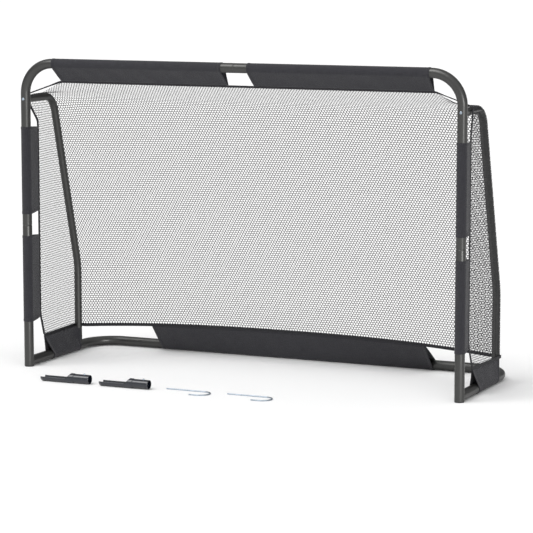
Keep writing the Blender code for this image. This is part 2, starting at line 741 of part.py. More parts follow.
# ---------------------------------------------------------------- ground spikes and pegs
def ground_spike(name, neck_x):
    """A swaged tube that fits a post, with a trough-shaped blade; it lies with the trough up."""
    y, z = -KIT_AHEAD, TUBE_R
    shoulder = neck_x - SPIKE_NECK_LENGTH
    path = [
        at(neck_x - SPIKE_LENGTH, y, z),
        at(shoulder - SPIKE_SHOULDER, y, z),
        at(shoulder, y, z),
        at(neck_x, y, z),
    ]
    neck = SPIKE_NECK_R / TUBE_R
    spike = swept(
        "ground_spike_" + name, path, TUBE_R, BLACK_PAINT, shares=[1, 1, neck, neck], wall=TUBE_WALL
    )
    arch = neck_x - SPIKE_CHANNEL_START - TUBE_R
    round_end = rod("arch_" + name, at(arch, y, z), at(arch, y, 3 * z), TROUGH_CUT_R, sides=24)
    cut = bpy.data.meshes.new("trough_" + name)
    box = bmesh.new()
    bmesh.ops.create_cube(box, size=1)
    low = at(neck_x - SPIKE_LENGTH - TROUGH_OVERRUN, y - TROUGH_CUT_R, z)
    high = at(arch, y + TROUGH_CUT_R, 3 * z)
    for corner in box.verts:
        corner.co = [a if c < 0 else b for a, b, c in zip(low, high, corner.co)]
    box.to_mesh(cut)
    box.free()
    trough = finished("trough_" + name, cut, None)
    combined(spike, round_end, "DIFFERENCE")
    combined(spike, trough, "DIFFERENCE")
    return spike


def hook_peg(name, crown_x):
    """A wire peg with a half-round hook, lying flat with the hook's crown at crown_x."""
    y, z = -KIT_AHEAD, PEG_WIRE_R
    spring = crown_x - PEG_BEND_R - PEG_WIRE_R
    path = [at(crown_x - PEG_LENGTH, y + PEG_BEND_R, z)]
    for k in range(13):
        angle = math.pi / 2 - math.pi * k / 12
        path.append(at(spring + PEG_BEND_R * math.cos(angle), y + PEG_BEND_R * math.sin(angle), z))
    path.append(at(spring - PEG_SHORT_LEG, y - PEG_BEND_R, z))
    swept("hook_peg_" + name, path, PEG_WIRE_R, ZINC, sides=8)


# ---------------------------------------------------------------- the whole set
corner_tubes, posts, rails = {}, {}, {}
for side, sign in SIDES.items():
    corner_tubes[side] = upper_corner_tube(side, sign)
    posts[side] = lower_post(side, sign)
    rails[side] = base_corner_tube(side, sign)
    foot_plug(side, sign)
    stay_tube(side, sign)
    stay_fasteners(side, sign)
    net_side(side, sign)
    snap_button(
        "post_" + side,
        at(sign * POST_X, 0, POST_JOINT_Z + BUTTON_INSET),
        BACK,
        UP,
        [corner_tubes[side], posts[side]],
    )
snap_button("crossbar", at(BUTTON_INSET, 0, BAR_Z), BACK, (1, 0, 0), corner_tubes.values())
towards_net = rear_edge(0) - at(0, REAR_BAR, RAIL_Z)
snap_button("rear_bar", at(BUTTON_INSET, REAR_BAR, RAIL_Z), towards_net, (1, 0, 0), rails.values())
all_sleeves()
net_back()
all_bindings()
for name, neck_x, crown_x in zip(("left", "right"), KIT_NECKS_X, PEG_CROWNS_X):
    spike = ground_spike(name, neck_x)
    button = at(neck_x - SPIKE_BUTTON_FROM_TOP, -KIT_AHEAD, TUBE_R)
    snap_button("spike_" + name, button, UP, (1, 0, 0), [spike])
    hook_peg(name, crown_x)
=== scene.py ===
# %% [markdown]
# # A hockey goal that comes apart
#
# The goal is a knock-down frame of powder-coated steel tube. A knitted net hangs on two bent
# stays, and its edges are bound with tape and sewn to sleeves of woven cloth that slip over the
# tubes. Two ground spikes and two wire pegs lie in front of it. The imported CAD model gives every
# place and size, and each cell below gives one piece the shape and the finish of the real one.

# %% Load the frame
import math

import bmesh
import bpy
import numpy as np
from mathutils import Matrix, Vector


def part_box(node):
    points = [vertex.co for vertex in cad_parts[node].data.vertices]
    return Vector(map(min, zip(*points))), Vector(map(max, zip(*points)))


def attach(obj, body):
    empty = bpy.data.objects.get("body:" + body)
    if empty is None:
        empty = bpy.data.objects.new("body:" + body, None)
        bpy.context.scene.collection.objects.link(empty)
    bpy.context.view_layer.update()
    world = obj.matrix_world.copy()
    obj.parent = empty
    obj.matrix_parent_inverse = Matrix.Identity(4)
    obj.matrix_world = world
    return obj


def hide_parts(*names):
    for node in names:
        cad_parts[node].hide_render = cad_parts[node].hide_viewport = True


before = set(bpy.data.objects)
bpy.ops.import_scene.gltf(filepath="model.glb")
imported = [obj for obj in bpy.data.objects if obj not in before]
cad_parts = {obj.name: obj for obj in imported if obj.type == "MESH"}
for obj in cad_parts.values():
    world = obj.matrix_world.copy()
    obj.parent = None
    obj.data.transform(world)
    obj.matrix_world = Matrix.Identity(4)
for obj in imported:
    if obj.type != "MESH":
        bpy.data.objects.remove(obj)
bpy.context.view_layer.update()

# %% [markdown]
# ## Sizes
#
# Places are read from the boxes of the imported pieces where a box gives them: a foot plug is as wide
# as its post and centred on it, and the crossbar is the top of a corner tube. The rest are the
# design sizes of the goal in metres. Depths are counted back from the posts, as a maker would.

# %% Sizes of the frame
foot_low, foot_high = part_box("foot_plug_right")
TUBE_R = (foot_high.x - foot_low.x) / 2
POST_X = (foot_high.x + foot_low.x) / 2
POST_Y = (foot_high.y + foot_low.y) / 2
BAR_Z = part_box("upper_corner_tube_left")[1].z - TUBE_R
REAR_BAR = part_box("base_corner_tube_left")[1].y - TUBE_R - POST_Y
RAIL_LIFT = 0.002
RAIL_Z = TUBE_R + RAIL_LIFT
TUBE_WALL = 0.0012
CLEARANCE = 0.0003
SPIGOT_R = TUBE_R - TUBE_WALL - CLEARANCE
TOP_BEND_R, BASE_BEND_R = 0.120, 0.130
POST_JOINT_Z = 0.570
SWAGE, SPIGOT = 0.004, 0.050
STAY_R, STAY_WALL = 0.015, 0.0012
STAY_ARM_Z, STAY_TOP_Y, STAY_TOP_BEND_R = 1.070, 0.215, 0.080
STAY_KNEE_Z, STAY_FOOT_Y, STAY_KNEE_BEND_R = 0.361, 0.410, 0.250
FOOT_FLANGE = 0.0025
BUTTON_R, BUTTON_INSET = 0.004, 0.025
SIDES = {"left": -1, "right": 1}
print(f"posts {2 * POST_X:.3f} m apart, crossbar at {BAR_Z:.3f} m, depth {REAR_BAR:.3f} m")

# %% Sizes of the net and its cloth
NET_OUT = 0.017
BINDING_R = 0.003
EDGE_OUT, CORNER_WIDE = 0.0188, 0.026
EDGE_X = POST_X + EDGE_OUT
NET_FLAT = POST_X - CORNER_WIDE
NET_IN = 0.003
TOP_EDGE_Y, TOP_EDGE_Z = 0.060, 1.137
SIDE_EDGE_Y, BOTTOM_EDGE_Z = 0.094, 0.105
REAR_EDGE_Y, REAR_EDGE_Z = 0.492, 0.126
CROSSBAR_SLEEVE = (0.054, 0.786)
POST_SLEEVES = {"upper": (0.614, 0.960), "lower": (0.182, 0.527)}
SIDE_SLEEVE_TOP, SIDE_SLEEVE_RAIL = (0.128, 0.405), (0.170, 0.400)
REAR_SLEEVE_REACH = 0.600
SLEEVE_SLANT = 0.005
SETBACK = 0.0048

# %% Sizes of the spikes and the pegs
SPIKE_LENGTH, NECK_LENGTH, NECK_R, SHOULDER = 0.207, 0.063, 0.0172, 0.006
CHANNEL_START, SPIKE_BUTTON = 0.081, 0.024
PEG_LENGTH, PEG_R, PEG_BEND_R, PEG_SHORT_LEG = 0.200, 0.0025, 0.036, 0.033
KIT_AHEAD = 0.250
KIT_NECKS_X, PEG_CROWNS_X = (-0.500, -0.245), (0.010, 0.265)

# %% [markdown]
# ## The camera
#
# The camera comes first, so that every piece is judged from where the goal is seen. It stands
# to the right of the goal, over eight metres away, and looks slightly down with a long lens.

# %% Camera
CAMERA_X, CAMERA_BACK, CAMERA_Z, PITCH, YAW, LENS = 3.760, -8.074, 1.690, 7.901, 24.205, 158.85
camera = bpy.data.objects.new("camera", bpy.data.cameras.new("camera"))
camera.location = (CAMERA_X, POST_Y + CAMERA_BACK, CAMERA_Z)
camera.rotation_euler = (math.radians(90 - PITCH), 0, math.radians(YAW))
camera.data.lens, camera.data.sensor_width, camera.data.clip_end = LENS, 36, 1000
bpy.context.scene.collection.objects.link(camera)
bpy.context.scene.camera = camera
bpy.context.scene.view_settings.view_transform = "Standard"
print("camera at", [round(v, 3) for v in camera.location])

# %% [markdown]
# ## Lines and rings
#
# Almost every piece of this goal is a section carried along a line: a circle along a bent tube, a
# flat loop along the net's edge. So the helpers make lines first, then rings along them.


# %% Helpers for lines
def at(x, y, z):
    """A point, or an array of them, given with Y counted back from the posts."""
    x, y, z = np.broadcast_arrays(*np.asarray([x, y, z], dtype=object))
    return np.stack([x.astype(float), y.astype(float) + POST_Y, z.astype(float)], -1)


def unit(vectors):
    """Each vector divided by its length."""
    vectors = np.asarray(vectors, float)
    return vectors / np.linalg.norm(vectors, axis=-1, keepdims=True)


def eased(value):
    """Three squares less two cubes of a share, which starts and ends level."""
    share = np.clip(value, 0, 1)
    return share * share * (3 - 2 * share)


def rounded(corners, radii, turn=math.radians(4)):
    """The line through corners, with each inner corner an arc. Its centre lies on the corner's
    bisector, at the radius over the sine of half the angle, and its spokes turn evenly."""
    corners = np.asarray(corners, float)
    line = [corners[:1]]
    for before, corner, after, radius in zip(corners, corners[1:], corners[2:], radii):
        back, ahead = unit(before - corner), unit(after - corner)
        half = math.acos(float(back @ ahead)) / 2
        centre = corner + unit(back + ahead) * radius / math.sin(half)
        first = corner + back * radius / math.tan(half) - centre
        last = corner + ahead * radius / math.tan(half) - centre
        bend = math.pi - 2 * half
        share = np.linspace(0, bend, max(3, int(bend / turn) + 1))[:, None]
        spokes = first * np.sin(bend - share) + last * np.sin(share)
        line.append(centre + spokes / math.sin(bend))
    line.append(corners[-1:])
    return np.concatenate(line)


def lengths(line):
    """The distance along the line to each of its points."""
    return np.concatenate([[0], np.cumsum(np.linalg.norm(np.diff(line, axis=0), axis=1))])


def spaced(line, count, far=None):
    """The same line with count points at equal distances along it. The line can carry other
    columns that don't count as length, if the distance far to each point is given."""
    far = lengths(line) if far is None else far
    steps = np.linspace(0, far[-1], count)
    return np.stack([np.interp(steps, far, line[:, k]) for k in range(line.shape[1])], -1)


def tangents(line):
    """At each point, the mean direction of the two steps that meet there."""
    steps = unit(np.diff(line, axis=0))
    return unit(np.concatenate([steps[:1], steps[:-1] + steps[1:], steps[-1:]]))


def carried(line, across, profile):
    """A section carried along a line: each point is the line's, plus the section's first number
    across and its second along the normal, which is square to the line and to across."""
    ahead = tangents(line)
    across = np.broadcast_to(np.asarray(across, float), line.shape)
    across = unit(across - ahead * (across * ahead).sum(-1, keepdims=True))
    normal = np.cross(ahead, across)
    profile = np.broadcast_to(profile, (len(line), *profile.shape[-2:]))
    return line[:, None] + across[:, None] * profile[..., :1] + normal[:, None] * profile[..., 1:]


# %% [markdown]
# ## From points to pieces
#
# A surface here is a grid of points, rows by columns, worked out as one array. The faces join each
# point to its neighbours, and each corner also gets its distance along the rows and columns in
# metres, so that a weave keeps its real size wherever it is on the piece.


# %% Helpers for meshes
MERGE_DISTANCE = 2e-6


def grid(points, round_rows=False, round_columns=False, cloth=None):
    """The points, four-sided faces and cloth coordinates of a grid. Faces look outwards where the
    columns run anticlockwise round the direction of the rows."""
    rows, columns = points.shape[:2]
    row = np.arange(rows if round_rows else rows - 1)[:, None]
    column = np.arange(columns if round_columns else columns - 1)[None]
    below, beside = (row + 1) % rows, (column + 1) % columns
    faces = np.stack(
        [
            row * columns + column,
            row * columns + beside,
            below * columns + beside,
            below * columns + column,
        ],
        -1,
    )
    if cloth is None:
        wide = np.linalg.norm(np.roll(points, -1, 1) - points, axis=-1).mean(0)
        long = np.linalg.norm(np.roll(points, -1, 0) - points, axis=-1).mean(1)
        u = np.concatenate([[0], np.cumsum(wide)])
        v = np.concatenate([[0], np.cumsum(long)])
        u0, u1, v0, v1 = u[column], u[column + 1], v[row], v[row + 1]
        pairs = [(u0, v0), (u1, v0), (u1, v1), (u0, v1)]
        laid = np.stack([np.stack(np.broadcast_arrays(*pair), -1) for pair in pairs], -2)
    else:
        laid = cloth.reshape(-1, 2)[faces]
    return points.reshape(-1, 3), faces.reshape(-1, 4), laid.reshape(-1, 4, 2)


def mesh_from(name, parts):
    """One mesh from several sets of points, faces and cloth coordinates."""
    shifts = np.cumsum([0] + [len(part[0]) for part in parts[:-1]])
    points = np.concatenate([part[0] for part in parts]).astype(np.float32)
    corners = np.concatenate([(part[1] + s).ravel() for part, s in zip(parts, shifts)])
    sizes = np.concatenate([np.full(len(part[1]), part[1].shape[1]) for part in parts])
    laid = np.concatenate([part[2].reshape(-1, 2) for part in parts]).astype(np.float32)
    mesh = bpy.data.meshes.new(name)
    mesh.vertices.add(len(points))
    mesh.vertices.foreach_set("co", points.ravel())
    mesh.loops.add(len(corners))
    mesh.loops.foreach_set("vertex_index", corners.astype(np.int32))
    mesh.polygons.add(len(sizes))
    mesh.polygons.foreach_set("loop_start", (np.cumsum(sizes) - sizes).astype(np.int32))
    mesh.update(calc_edges=True)
    mesh.uv_layers.new(name="cloth").data.foreach_set("uv", laid.ravel())
    mesh.update()
    return mesh


def welded(mesh, outwards=False):
    """Merges the doubled points of seams and poles, and turns the faces outwards if asked."""
    shape = bmesh.new()
    shape.from_mesh(mesh)
    bmesh.ops.remove_doubles(shape, verts=shape.verts, dist=MERGE_DISTANCE)
    if outwards:
        bmesh.ops.recalc_face_normals(shape, faces=shape.faces)
    shape.to_mesh(mesh)
    shape.free()
    return mesh


def piece(name, mesh, slot, body="goal", stands_for=(), sharp=35, finish=None):
    """An object of the goal: shaded smooth except at sharp edges, with its slot's finish unless
    another is given, and on its body."""
    thing = bpy.data.objects.new(name, mesh)
    bpy.context.scene.collection.objects.link(thing)
    mesh.materials.append(finish or SLOTS[slot])
    mesh.shade_smooth()
    if sharp:
        mesh.set_sharp_from_angle(angle=math.radians(sharp))
    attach(thing, body)
    if stands_for:
        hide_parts(*stands_for)
    return thing


# %% [markdown]
# ## Finishes
#
# Every finish is worked out by nodes from the piece's own coordinates, so nothing is painted by
# hand. Colours are written as they look on a screen and turned to linear light by one function.
# Four more functions add a node, a noise, a mix of two colours and a rough surface.


# %% Helpers for materials
def colour(code):
    """Linear light from a screen colour: each share over 0.04045 is shifted, scaled and raised
    to the power 2.4, and the darker ones are divided by 12.92."""
    shares = [int(code[k : k + 2], 16) / 255 for k in (1, 3, 5)]
    return (*(((s + 0.055) / 1.055) ** 2.4 if s > 0.04045 else s / 12.92 for s in shares), 1)


def node(tree, kind, inputs=(), **settings):
    """Adds a node. An input is linked if it is given a socket, and set if it is given a value."""
    made = tree.nodes.new(kind)
    for name, value in settings.items():
        setattr(made, name, value)
    for name, value in dict(inputs).items():
        if isinstance(value, bpy.types.NodeSocket):
            tree.links.new(value, made.inputs[name])
        else:
            made.inputs[name].default_value = value
    return made


def new_finish(name, **values):
    """A material with its shader's own values set, and its tree, shader and coordinates."""
    material = bpy.data.materials.new(name)
    material.use_nodes = True
    tree = material.node_tree
    shader = tree.nodes["Principled BSDF"]
    for key, value in values.items():
        shader.inputs[key.replace("_", " ")].default_value = value
    return material, tree, shader, node(tree, "ShaderNodeTexCoord")


def noise(tree, vector, scale, detail, **inputs):
    """A cloudy value that changes over about one over scale metres."""
    inputs = {"Vector": vector, "Scale": scale, "Detail": detail, **inputs}
    return node(tree, "ShaderNodeTexNoise", inputs).outputs[0]


def mixed(tree, factor, low, high, **settings):
    """A colour between two others. Both can be a screen colour or another node's output."""
    low, high = (colour(end) if isinstance(end, str) else end for end in (low, high))
    inputs = {"Factor": factor, "A": low, "B": high}
    return node(tree, "ShaderNodeMix", inputs, data_type="RGBA", **settings).outputs["Result"]


def finish_with(tree, shader, base, height, strength, distance):
    """Gives the shader its colour, and a surface that rises with height by up to distance."""
    inputs = {"Height": height, "Strength": strength, "Distance": distance}
    tree.links.new(base, shader.inputs["Base Color"])
    tree.links.new(node(tree, "ShaderNodeBump", inputs).outputs[0], shader.inputs["Normal"])


# %% [markdown]
# ### Powder-coated steel
#
# The tubes are steel with a baked powder coat in satin gunmetal. The powder melts into a skin like
# a very fine orange peel, so the highlight down each tube is soft and slightly broken. Handling
# leaves faint scuffs that are a little lighter and rougher.

# %% Powder-coated steel
PEEL, CLOUD, SCUFF = 1 / 0.0016, 9.0, (160.0, 160.0, 26.0)
frame_coat, tree, shader, places = new_finish(
    "powder_coated_steel", Metallic=0.85, Roughness=0.36, Specular_IOR_Level=0.5
)
spot = places.outputs["Object"]
cloudy = noise(tree, spot, CLOUD, 4.0)
stretched = node(tree, "ShaderNodeMapping", {"Vector": spot, "Scale": SCUFF})
scuffs = noise(tree, stretched.outputs[0], 1.0, 6.0, Roughness=0.7)
scuffed = node(
    tree, "ShaderNodeMapRange", {"Value": scuffs, "From Min": 0.60, "From Max": 0.78}
).outputs[0]
gloss = node(tree, "ShaderNodeMapRange", {"Value": scuffed, "To Min": 0.34, "To Max": 0.46})
base = mixed(tree, cloudy, "#474746", "#50504f")
worn = mixed(tree, scuffed, base, "#626260")
finish_with(tree, shader, worn, noise(tree, spot, PEEL, 2.0), 0.25, 0.0001)
tree.links.new(gloss.outputs[0], shader.inputs["Roughness"])

# %% [markdown]
# ### Woven polyester for the sleeves
#
# The sleeves are charcoal oxford cloth, a plain weave of thick yarns with a dull coat on its back.
# The real yarns are about half a millimetre wide, too fine to show from here, so the weave is drawn
# with yarns of 1.5 mm. Yarns also differ a little in shade, which gives faint streaks both ways.

# %% Woven polyester
YARN = 0.0015
BAND = 2 * math.pi / 20  # a wave of scale 1 repeats in this many metres
CLOTH_RISE = 0.0003
sleeve_cloth, tree, shader, places = new_finish(
    "oxford_polyester", Roughness=0.82, Specular_IOR_Level=0.25, Sheen_Weight=0.12
)
laid = places.outputs["UV"]
over = node(tree, "ShaderNodeTexChecker", {"Vector": laid, "Scale": 1 / YARN}).outputs["Fac"]
waves = [
    node(
        tree,
        "ShaderNodeTexWave",
        {"Vector": laid, "Scale": BAND / YARN, "Distortion": 0.4},
        bands_direction=direction,
    ).outputs["Color"]
    for direction in "XY"
]
weave = mixed(tree, over, *waves)
streaks = []
for scale in ((30.0, 900.0, 1.0), (900.0, 30.0, 1.0)):
    lengthened = node(tree, "ShaderNodeMapping", {"Vector": laid, "Scale": scale})
    streaks.append(noise(tree, lengthened.outputs[0], 1.0, 2.0))
streaked = node(tree, "ShaderNodeMath", dict(enumerate(streaks)), operation="ADD").outputs[0]
shade = node(tree, "ShaderNodeMapRange", {"Value": streaked, "From Min": 0.75, "From Max": 1.25})
yarns = mixed(tree, shade.outputs[0], "#29282d", "#3a3a3f")
gaps = mixed(tree, 0.45, yarns, weave, blend_type="MULTIPLY")
finish_with(tree, shader, gaps, weave, 0.6, CLOTH_RISE)

# %% [markdown]
# ### Woven tape for the binding
#
# The edge of the net is bound with black grosgrain, a ribbed tape whose ribs run across it. Ribs of
# 1.4 mm are drawn for the real 0.8 mm ones, so that they show.

# %% Woven tape
RIB = 0.0014
tape_cloth, tree, shader, places = new_finish(
    "grosgrain_tape", Roughness=0.78, Specular_IOR_Level=0.25, Sheen_Weight=0.08
)
inputs = {"Vector": places.outputs["UV"], "Scale": BAND / RIB, "Distortion": 0.6}
ribs = node(tree, "ShaderNodeTexWave", inputs, bands_direction="Y").outputs["Color"]
fuzz = node(
    tree, "ShaderNodeTexNoise", {"Vector": places.outputs["Object"], "Scale": 420.0, "Detail": 3.0}
).outputs["Color"]
ribbed = mixed(tree, 0.35, ribs, fuzz)
finish_with(tree, shader, mixed(tree, ribbed, "#161618", "#2b2b2f"), ribbed, 0.5, CLOTH_RISE)

# %% [markdown]
# ### Knitted polyester for the net and the thread
#
# The net's strands are knitted from several dull yarns, so they look almost black with a fibrous
# surface. The sewing thread is the same fibre, a shade lighter.


# %% Knitted polyester
def fibre(name, dark, light, size):
    """Dull fibres: noise of the given size in metres mixes two shades and roughens the surface."""
    material, tree, shader, places = new_finish(name, Roughness=0.7, Specular_IOR_Level=0.3)
    hairs = noise(tree, places.outputs["Object"], 1 / size, 3.0)
    finish_with(tree, shader, mixed(tree, hairs, dark, light), hairs, 0.5, CLOTH_RISE)
    return material


net_cord = fibre("knitted_polyester", "#1a1a1c", "#2f2f32", 0.0012)
thread = fibre("sewing_thread", "#2c2c30", "#4a4a50", 0.0008)


# %% [markdown]
# ### Plated, sprung and painted metal, and moulded plastic
#
# Bolts, buttons and pegs are plated with bright zinc, a bluish skin with soft mottling. The leaf
# springs inside the tubes are plain rolled steel. The spikes have a deep black gloss coat, and the
# plugs are black polythene with a fine moulded grain.


# %% Metal and plastic
def mottled(name, dark, light, size, bump, **values):
    """A skin that varies between two shades in blotches of the given size in metres, with a
    surface that rises and falls by bump metres in steps a fifth of that size."""
    material, tree, shader, places = new_finish(name, **values)
    spot = places.outputs["Object"]
    base = mixed(tree, noise(tree, spot, 1 / size, 5.0), dark, light)
    finish_with(tree, shader, base, noise(tree, spot, 5 / size, 2.0), 0.4, bump)
    return material


PLATE_RISE, MOULD_RISE = 5e-5, 1e-4
zinc = mottled(
    "bright_zinc_plate", "#8b98a6", "#b9c3cd", 0.006, PLATE_RISE, Metallic=1.0, Roughness=0.3
)
spring_steel = mottled(
    "rolled_spring_steel", "#5f6062", "#88898b", 0.003, PLATE_RISE, Metallic=1.0, Roughness=0.38
)
spike_coat = mottled(
    "black_gloss_coat", "#0d1018", "#171c28", 0.02, PLATE_RISE, Roughness=0.2, Coat_Weight=0.5
)
plastic = mottled("moulded_polythene", "#141415", "#1f1f21", 0.004, MOULD_RISE, Roughness=0.52)
SLOTS = {
    "frame_paint": frame_coat,
    "spike_paint": spike_coat,
    "zinc_steel": zinc,
    "spring_steel": spring_steel,
    "black_plastic": plastic,
    "sleeve_fabric": sleeve_cloth,
    "edge_binding": tape_cloth,
    "net_cord": net_cord,
}
print("finishes", [material.name for material in SLOTS.values()])

# %% [markdown]
# ## The tubes
#
# A knock-down tube is a thin shell, open at its ends. It is drawn as rings along the bent line,
# first outside and then back inside, so the wall has its real thickness and the rims show. Where
# a tube ends in a spigot, a press has necked it down so that it slips into the next one. Where a
# tube butts against another, its end is coped, which means cut to the other tube's curve.

# %% Rings of a tube
UP, BACK, RIGHT = np.array([0, 0, 1.0]), np.array([0, 1.0, 0]), np.array([1.0, 0, 0])
ROUND = 48
TURNS = np.arange(ROUND) / ROUND * 2 * math.pi
RIM, DRILL_DEEP = 0.0003, 0.03
NECK = SPIGOT_R / TUBE_R


def circle(radius):
    """Points at even angles: cosine and sine times the radius, which may differ by ring."""
    radius = np.asarray(radius, float)[..., None, None]
    return radius * np.stack([np.cos(TURNS), np.sin(TURNS)], -1)


def cope(rings, line, butt, end):
    """Moves the ring at one end of a tube to the surface of a crossing tube of radius butt. Every
    joint here lies in a side's own plane, so a point's offset from the crossing tube's axis is
    along X, and its height is the root of butt squared less that offset squared."""
    ahead = tangents(line)[end] * (1 if end == 0 else -1)
    heights = np.sqrt(butt**2 - ((rings[end] - line[end]) @ RIGHT) ** 2)
    rings[end] += ahead * heights[:, None]


def tube(line, across, radius, wall, shares=1.0, start_butt=None, end_butt=None):
    """A pipe: rings outside from start to end, then inside back to the start, with small
    rounded rims. shares scales the radius of each ring, as at a spigot."""
    outer = radius * np.broadcast_to(shares, len(line))
    layers = []
    for size in (outer, outer - wall):
        rings = carried(line, across, circle(size))
        for end, butt in ((0, start_butt), (-1, end_butt)):
            if butt:
                cope(rings, line, butt, end)
        layers.append(rings)
    outside, inside = layers
    thin = (inside - outside)[[0, -1]] * RIM / wall
    ahead = tangents(line)[[0, -1]][:, None] * np.array([[[1]], [[-1]]]) * RIM
    first, last = outside[:1] + thin[:1], outside[-1:] + thin[-1:]
    outside = outside.copy()
    outside[0] += ahead[0]
    outside[-1] += ahead[1]
    rings = np.concatenate([first, outside, last, inside[::-1]])
    return grid(rings, round_rows=True, round_columns=True)


def necked(line):
    """Adds a spigot to the end of a line: over the swage's length the radius eases down to the
    neck's share, and stays there. Gives the line and the share at every ring."""
    ahead = tangents(line)[-1]
    steps = np.concatenate([np.linspace(0, SWAGE, 6)[1:], [SWAGE + SPIGOT]])
    shares = 1 - (1 - NECK) * eased(steps / SWAGE)
    line = np.concatenate([line, line[-1] + ahead * steps[:, None]])
    return line, np.concatenate([np.ones(len(line) - len(steps)), shares])


def drilled(thing, holes):
    """Drills a button's hole at each centre, along its direction, and keeps the result."""
    for k, (centre, ahead) in enumerate(holes):
        line = np.asarray(centre) + np.outer([0, DRILL_DEEP], unit(ahead))
        across = np.cross(ahead, (0.3, 0.5, 0.8))
        ring = carried(line, across, circle(BUTTON_R + CLEARANCE))
        caps = np.repeat(line[:, None], ROUND, 1)
        rings = np.concatenate([caps[:1], ring, caps[1:]])
        cutter = bpy.data.objects.new(
            "drill", welded(mesh_from("drill", [grid(rings, round_columns=True)]), True)
        )
        bpy.context.scene.collection.objects.link(cutter)
        cut = thing.modifiers.new(f"hole_{k}", "BOOLEAN")
        cut.operation, cut.solver, cut.object = "DIFFERENCE", "EXACT", cutter
    seen = thing.evaluated_get(bpy.context.evaluated_depsgraph_get())
    mesh = bpy.data.meshes.new_from_object(seen)
    cutters = [cut.object for cut in thing.modifiers if cut.type == "BOOLEAN"]
    thing.modifiers.clear()
    thing.data = mesh
    for cutter in cutters:
        bpy.data.objects.remove(cutter)
    return thing


def elbow(side, start, corner, bend_r):
    """Half of a bar and the bend beside it: from start, round the corner and to the middle, where
    the left one ends in a spigot and the right one is plain."""
    middle = np.array([-SWAGE if side == "left" else CLEARANCE, *corner[1:]])
    line = rounded([start, corner, middle], [bend_r])
    return necked(line) if side == "left" else (line, 1.0)


def painted(name, parts, packed):
    """A painted piece of the frame, made of one or more tubes."""
    return piece(name, mesh_from(name, parts), "frame_paint", stands_for=[packed])


# %% Front frame
STUB_MIDDLE, RAIL_STUB, BUTTON_Z = 0.03, 0.056, POST_JOINT_Z + BUTTON_INSET
SPIKE_HOLE_Z = FOOT_FLANGE + NECK_LENGTH - SPIKE_BUTTON
top_tubes, post_tubes = {}, {}
for side, sign in SIDES.items():
    x = sign * POST_X
    start, corner = at(x, 0, POST_JOINT_Z + CLEARANCE), at(x, 0, BAR_Z)
    line, shares = elbow(side, start, corner, TOP_BEND_R)
    parts = [tube(line, BACK, TUBE_R, TUBE_WALL, shares)]
    top_tubes[side] = drilled(
        painted(f"corner_tube_{side}", parts, f"upper_corner_tube_{side}"),
        [(at(x, 0, BUTTON_Z), BACK), (at(BUTTON_INSET, 0, BAR_Z), BACK)],
    )
    line = at(x, 0, [FOOT_FLANGE + CLEARANCE, POST_JOINT_Z - SWAGE])
    line, shares = necked(line)
    stub = at(x, [0, STUB_MIDDLE, TUBE_R + RAIL_STUB], RAIL_Z)
    parts = [
        tube(line, RIGHT, TUBE_R, TUBE_WALL, shares),
        tube(stub, RIGHT, SPIGOT_R, TUBE_WALL, start_butt=TUBE_R - TUBE_WALL / 2),
    ]
    post_tubes[side] = drilled(
        painted(f"post_tube_{side}", parts, f"lower_post_{side}"),
        [(at(x, 0, BUTTON_Z), BACK), (at(x, 0, SPIKE_HOLE_Z), -RIGHT)],
    )
print("front frame", [len(t.data.polygons) for t in [*top_tubes.values(), *post_tubes.values()]])

# %% [markdown]
# ## The base and the stays
#
# Each side rail, its bend and half of the rear bar are one tube, coped to the post. The stay is
# thinner. It starts at the back of the post, runs level, bends down, and leans out to the rail,
# which it sits on with a coped foot. A short stub inside each joint carries it.

# %% Base tubes and stays
towards_net = unit([0, REAR_EDGE_Y - REAR_BAR, REAR_EDGE_Z - RAIL_Z])
STAY_STUB, STAY_STUB_R = 0.075, STAY_R - STAY_WALL - CLEARANCE
base_tubes, stays = {}, {}
for side, sign in SIDES.items():
    x = sign * POST_X
    start, corner = at(x, 0, RAIL_Z), at(x, REAR_BAR, RAIL_Z)
    line, shares = elbow(side, start, corner, BASE_BEND_R)
    stub = at(x, STAY_FOOT_Y, RAIL_Z + np.array([0, STUB_MIDDLE, STAY_STUB]))
    butt = TUBE_R + CLEARANCE
    parts = [
        tube(line, UP, TUBE_R, TUBE_WALL, shares, start_butt=butt),
        tube(stub, RIGHT, STAY_STUB_R, STAY_WALL, start_butt=TUBE_R),
    ]
    base_tubes[side] = drilled(
        painted(f"base_tube_{side}", parts, f"base_corner_tube_{side}"),
        [(at(BUTTON_INSET, REAR_BAR, RAIL_Z), towards_net)],
    )
    depths = [0, STAY_TOP_Y, STAY_FOOT_Y, STAY_FOOT_Y]
    heights = [STAY_ARM_Z, STAY_ARM_Z, STAY_KNEE_Z, RAIL_Z]
    line = rounded(at(x, depths, heights), [STAY_TOP_BEND_R, STAY_KNEE_BEND_R])
    parts = [tube(line, RIGHT, STAY_R, STAY_WALL, start_butt=butt, end_butt=butt)]
    stays[side] = painted(f"stay_{side}", parts, f"stay_tube_{side}")
print("base and stays", [len(t.data.polygons) for t in [*base_tubes.values(), *stays.values()]])

# %% [markdown]
# ## Turned pieces
#
# Plugs, bolts and buttons are round, so each is a profile of radius and height spun about its axis.
# The bolt's head has a six-sided socket, which is the same spin with the radius of a hexagon: the
# flat's distance over the cosine of the angle from the middle of that flat.


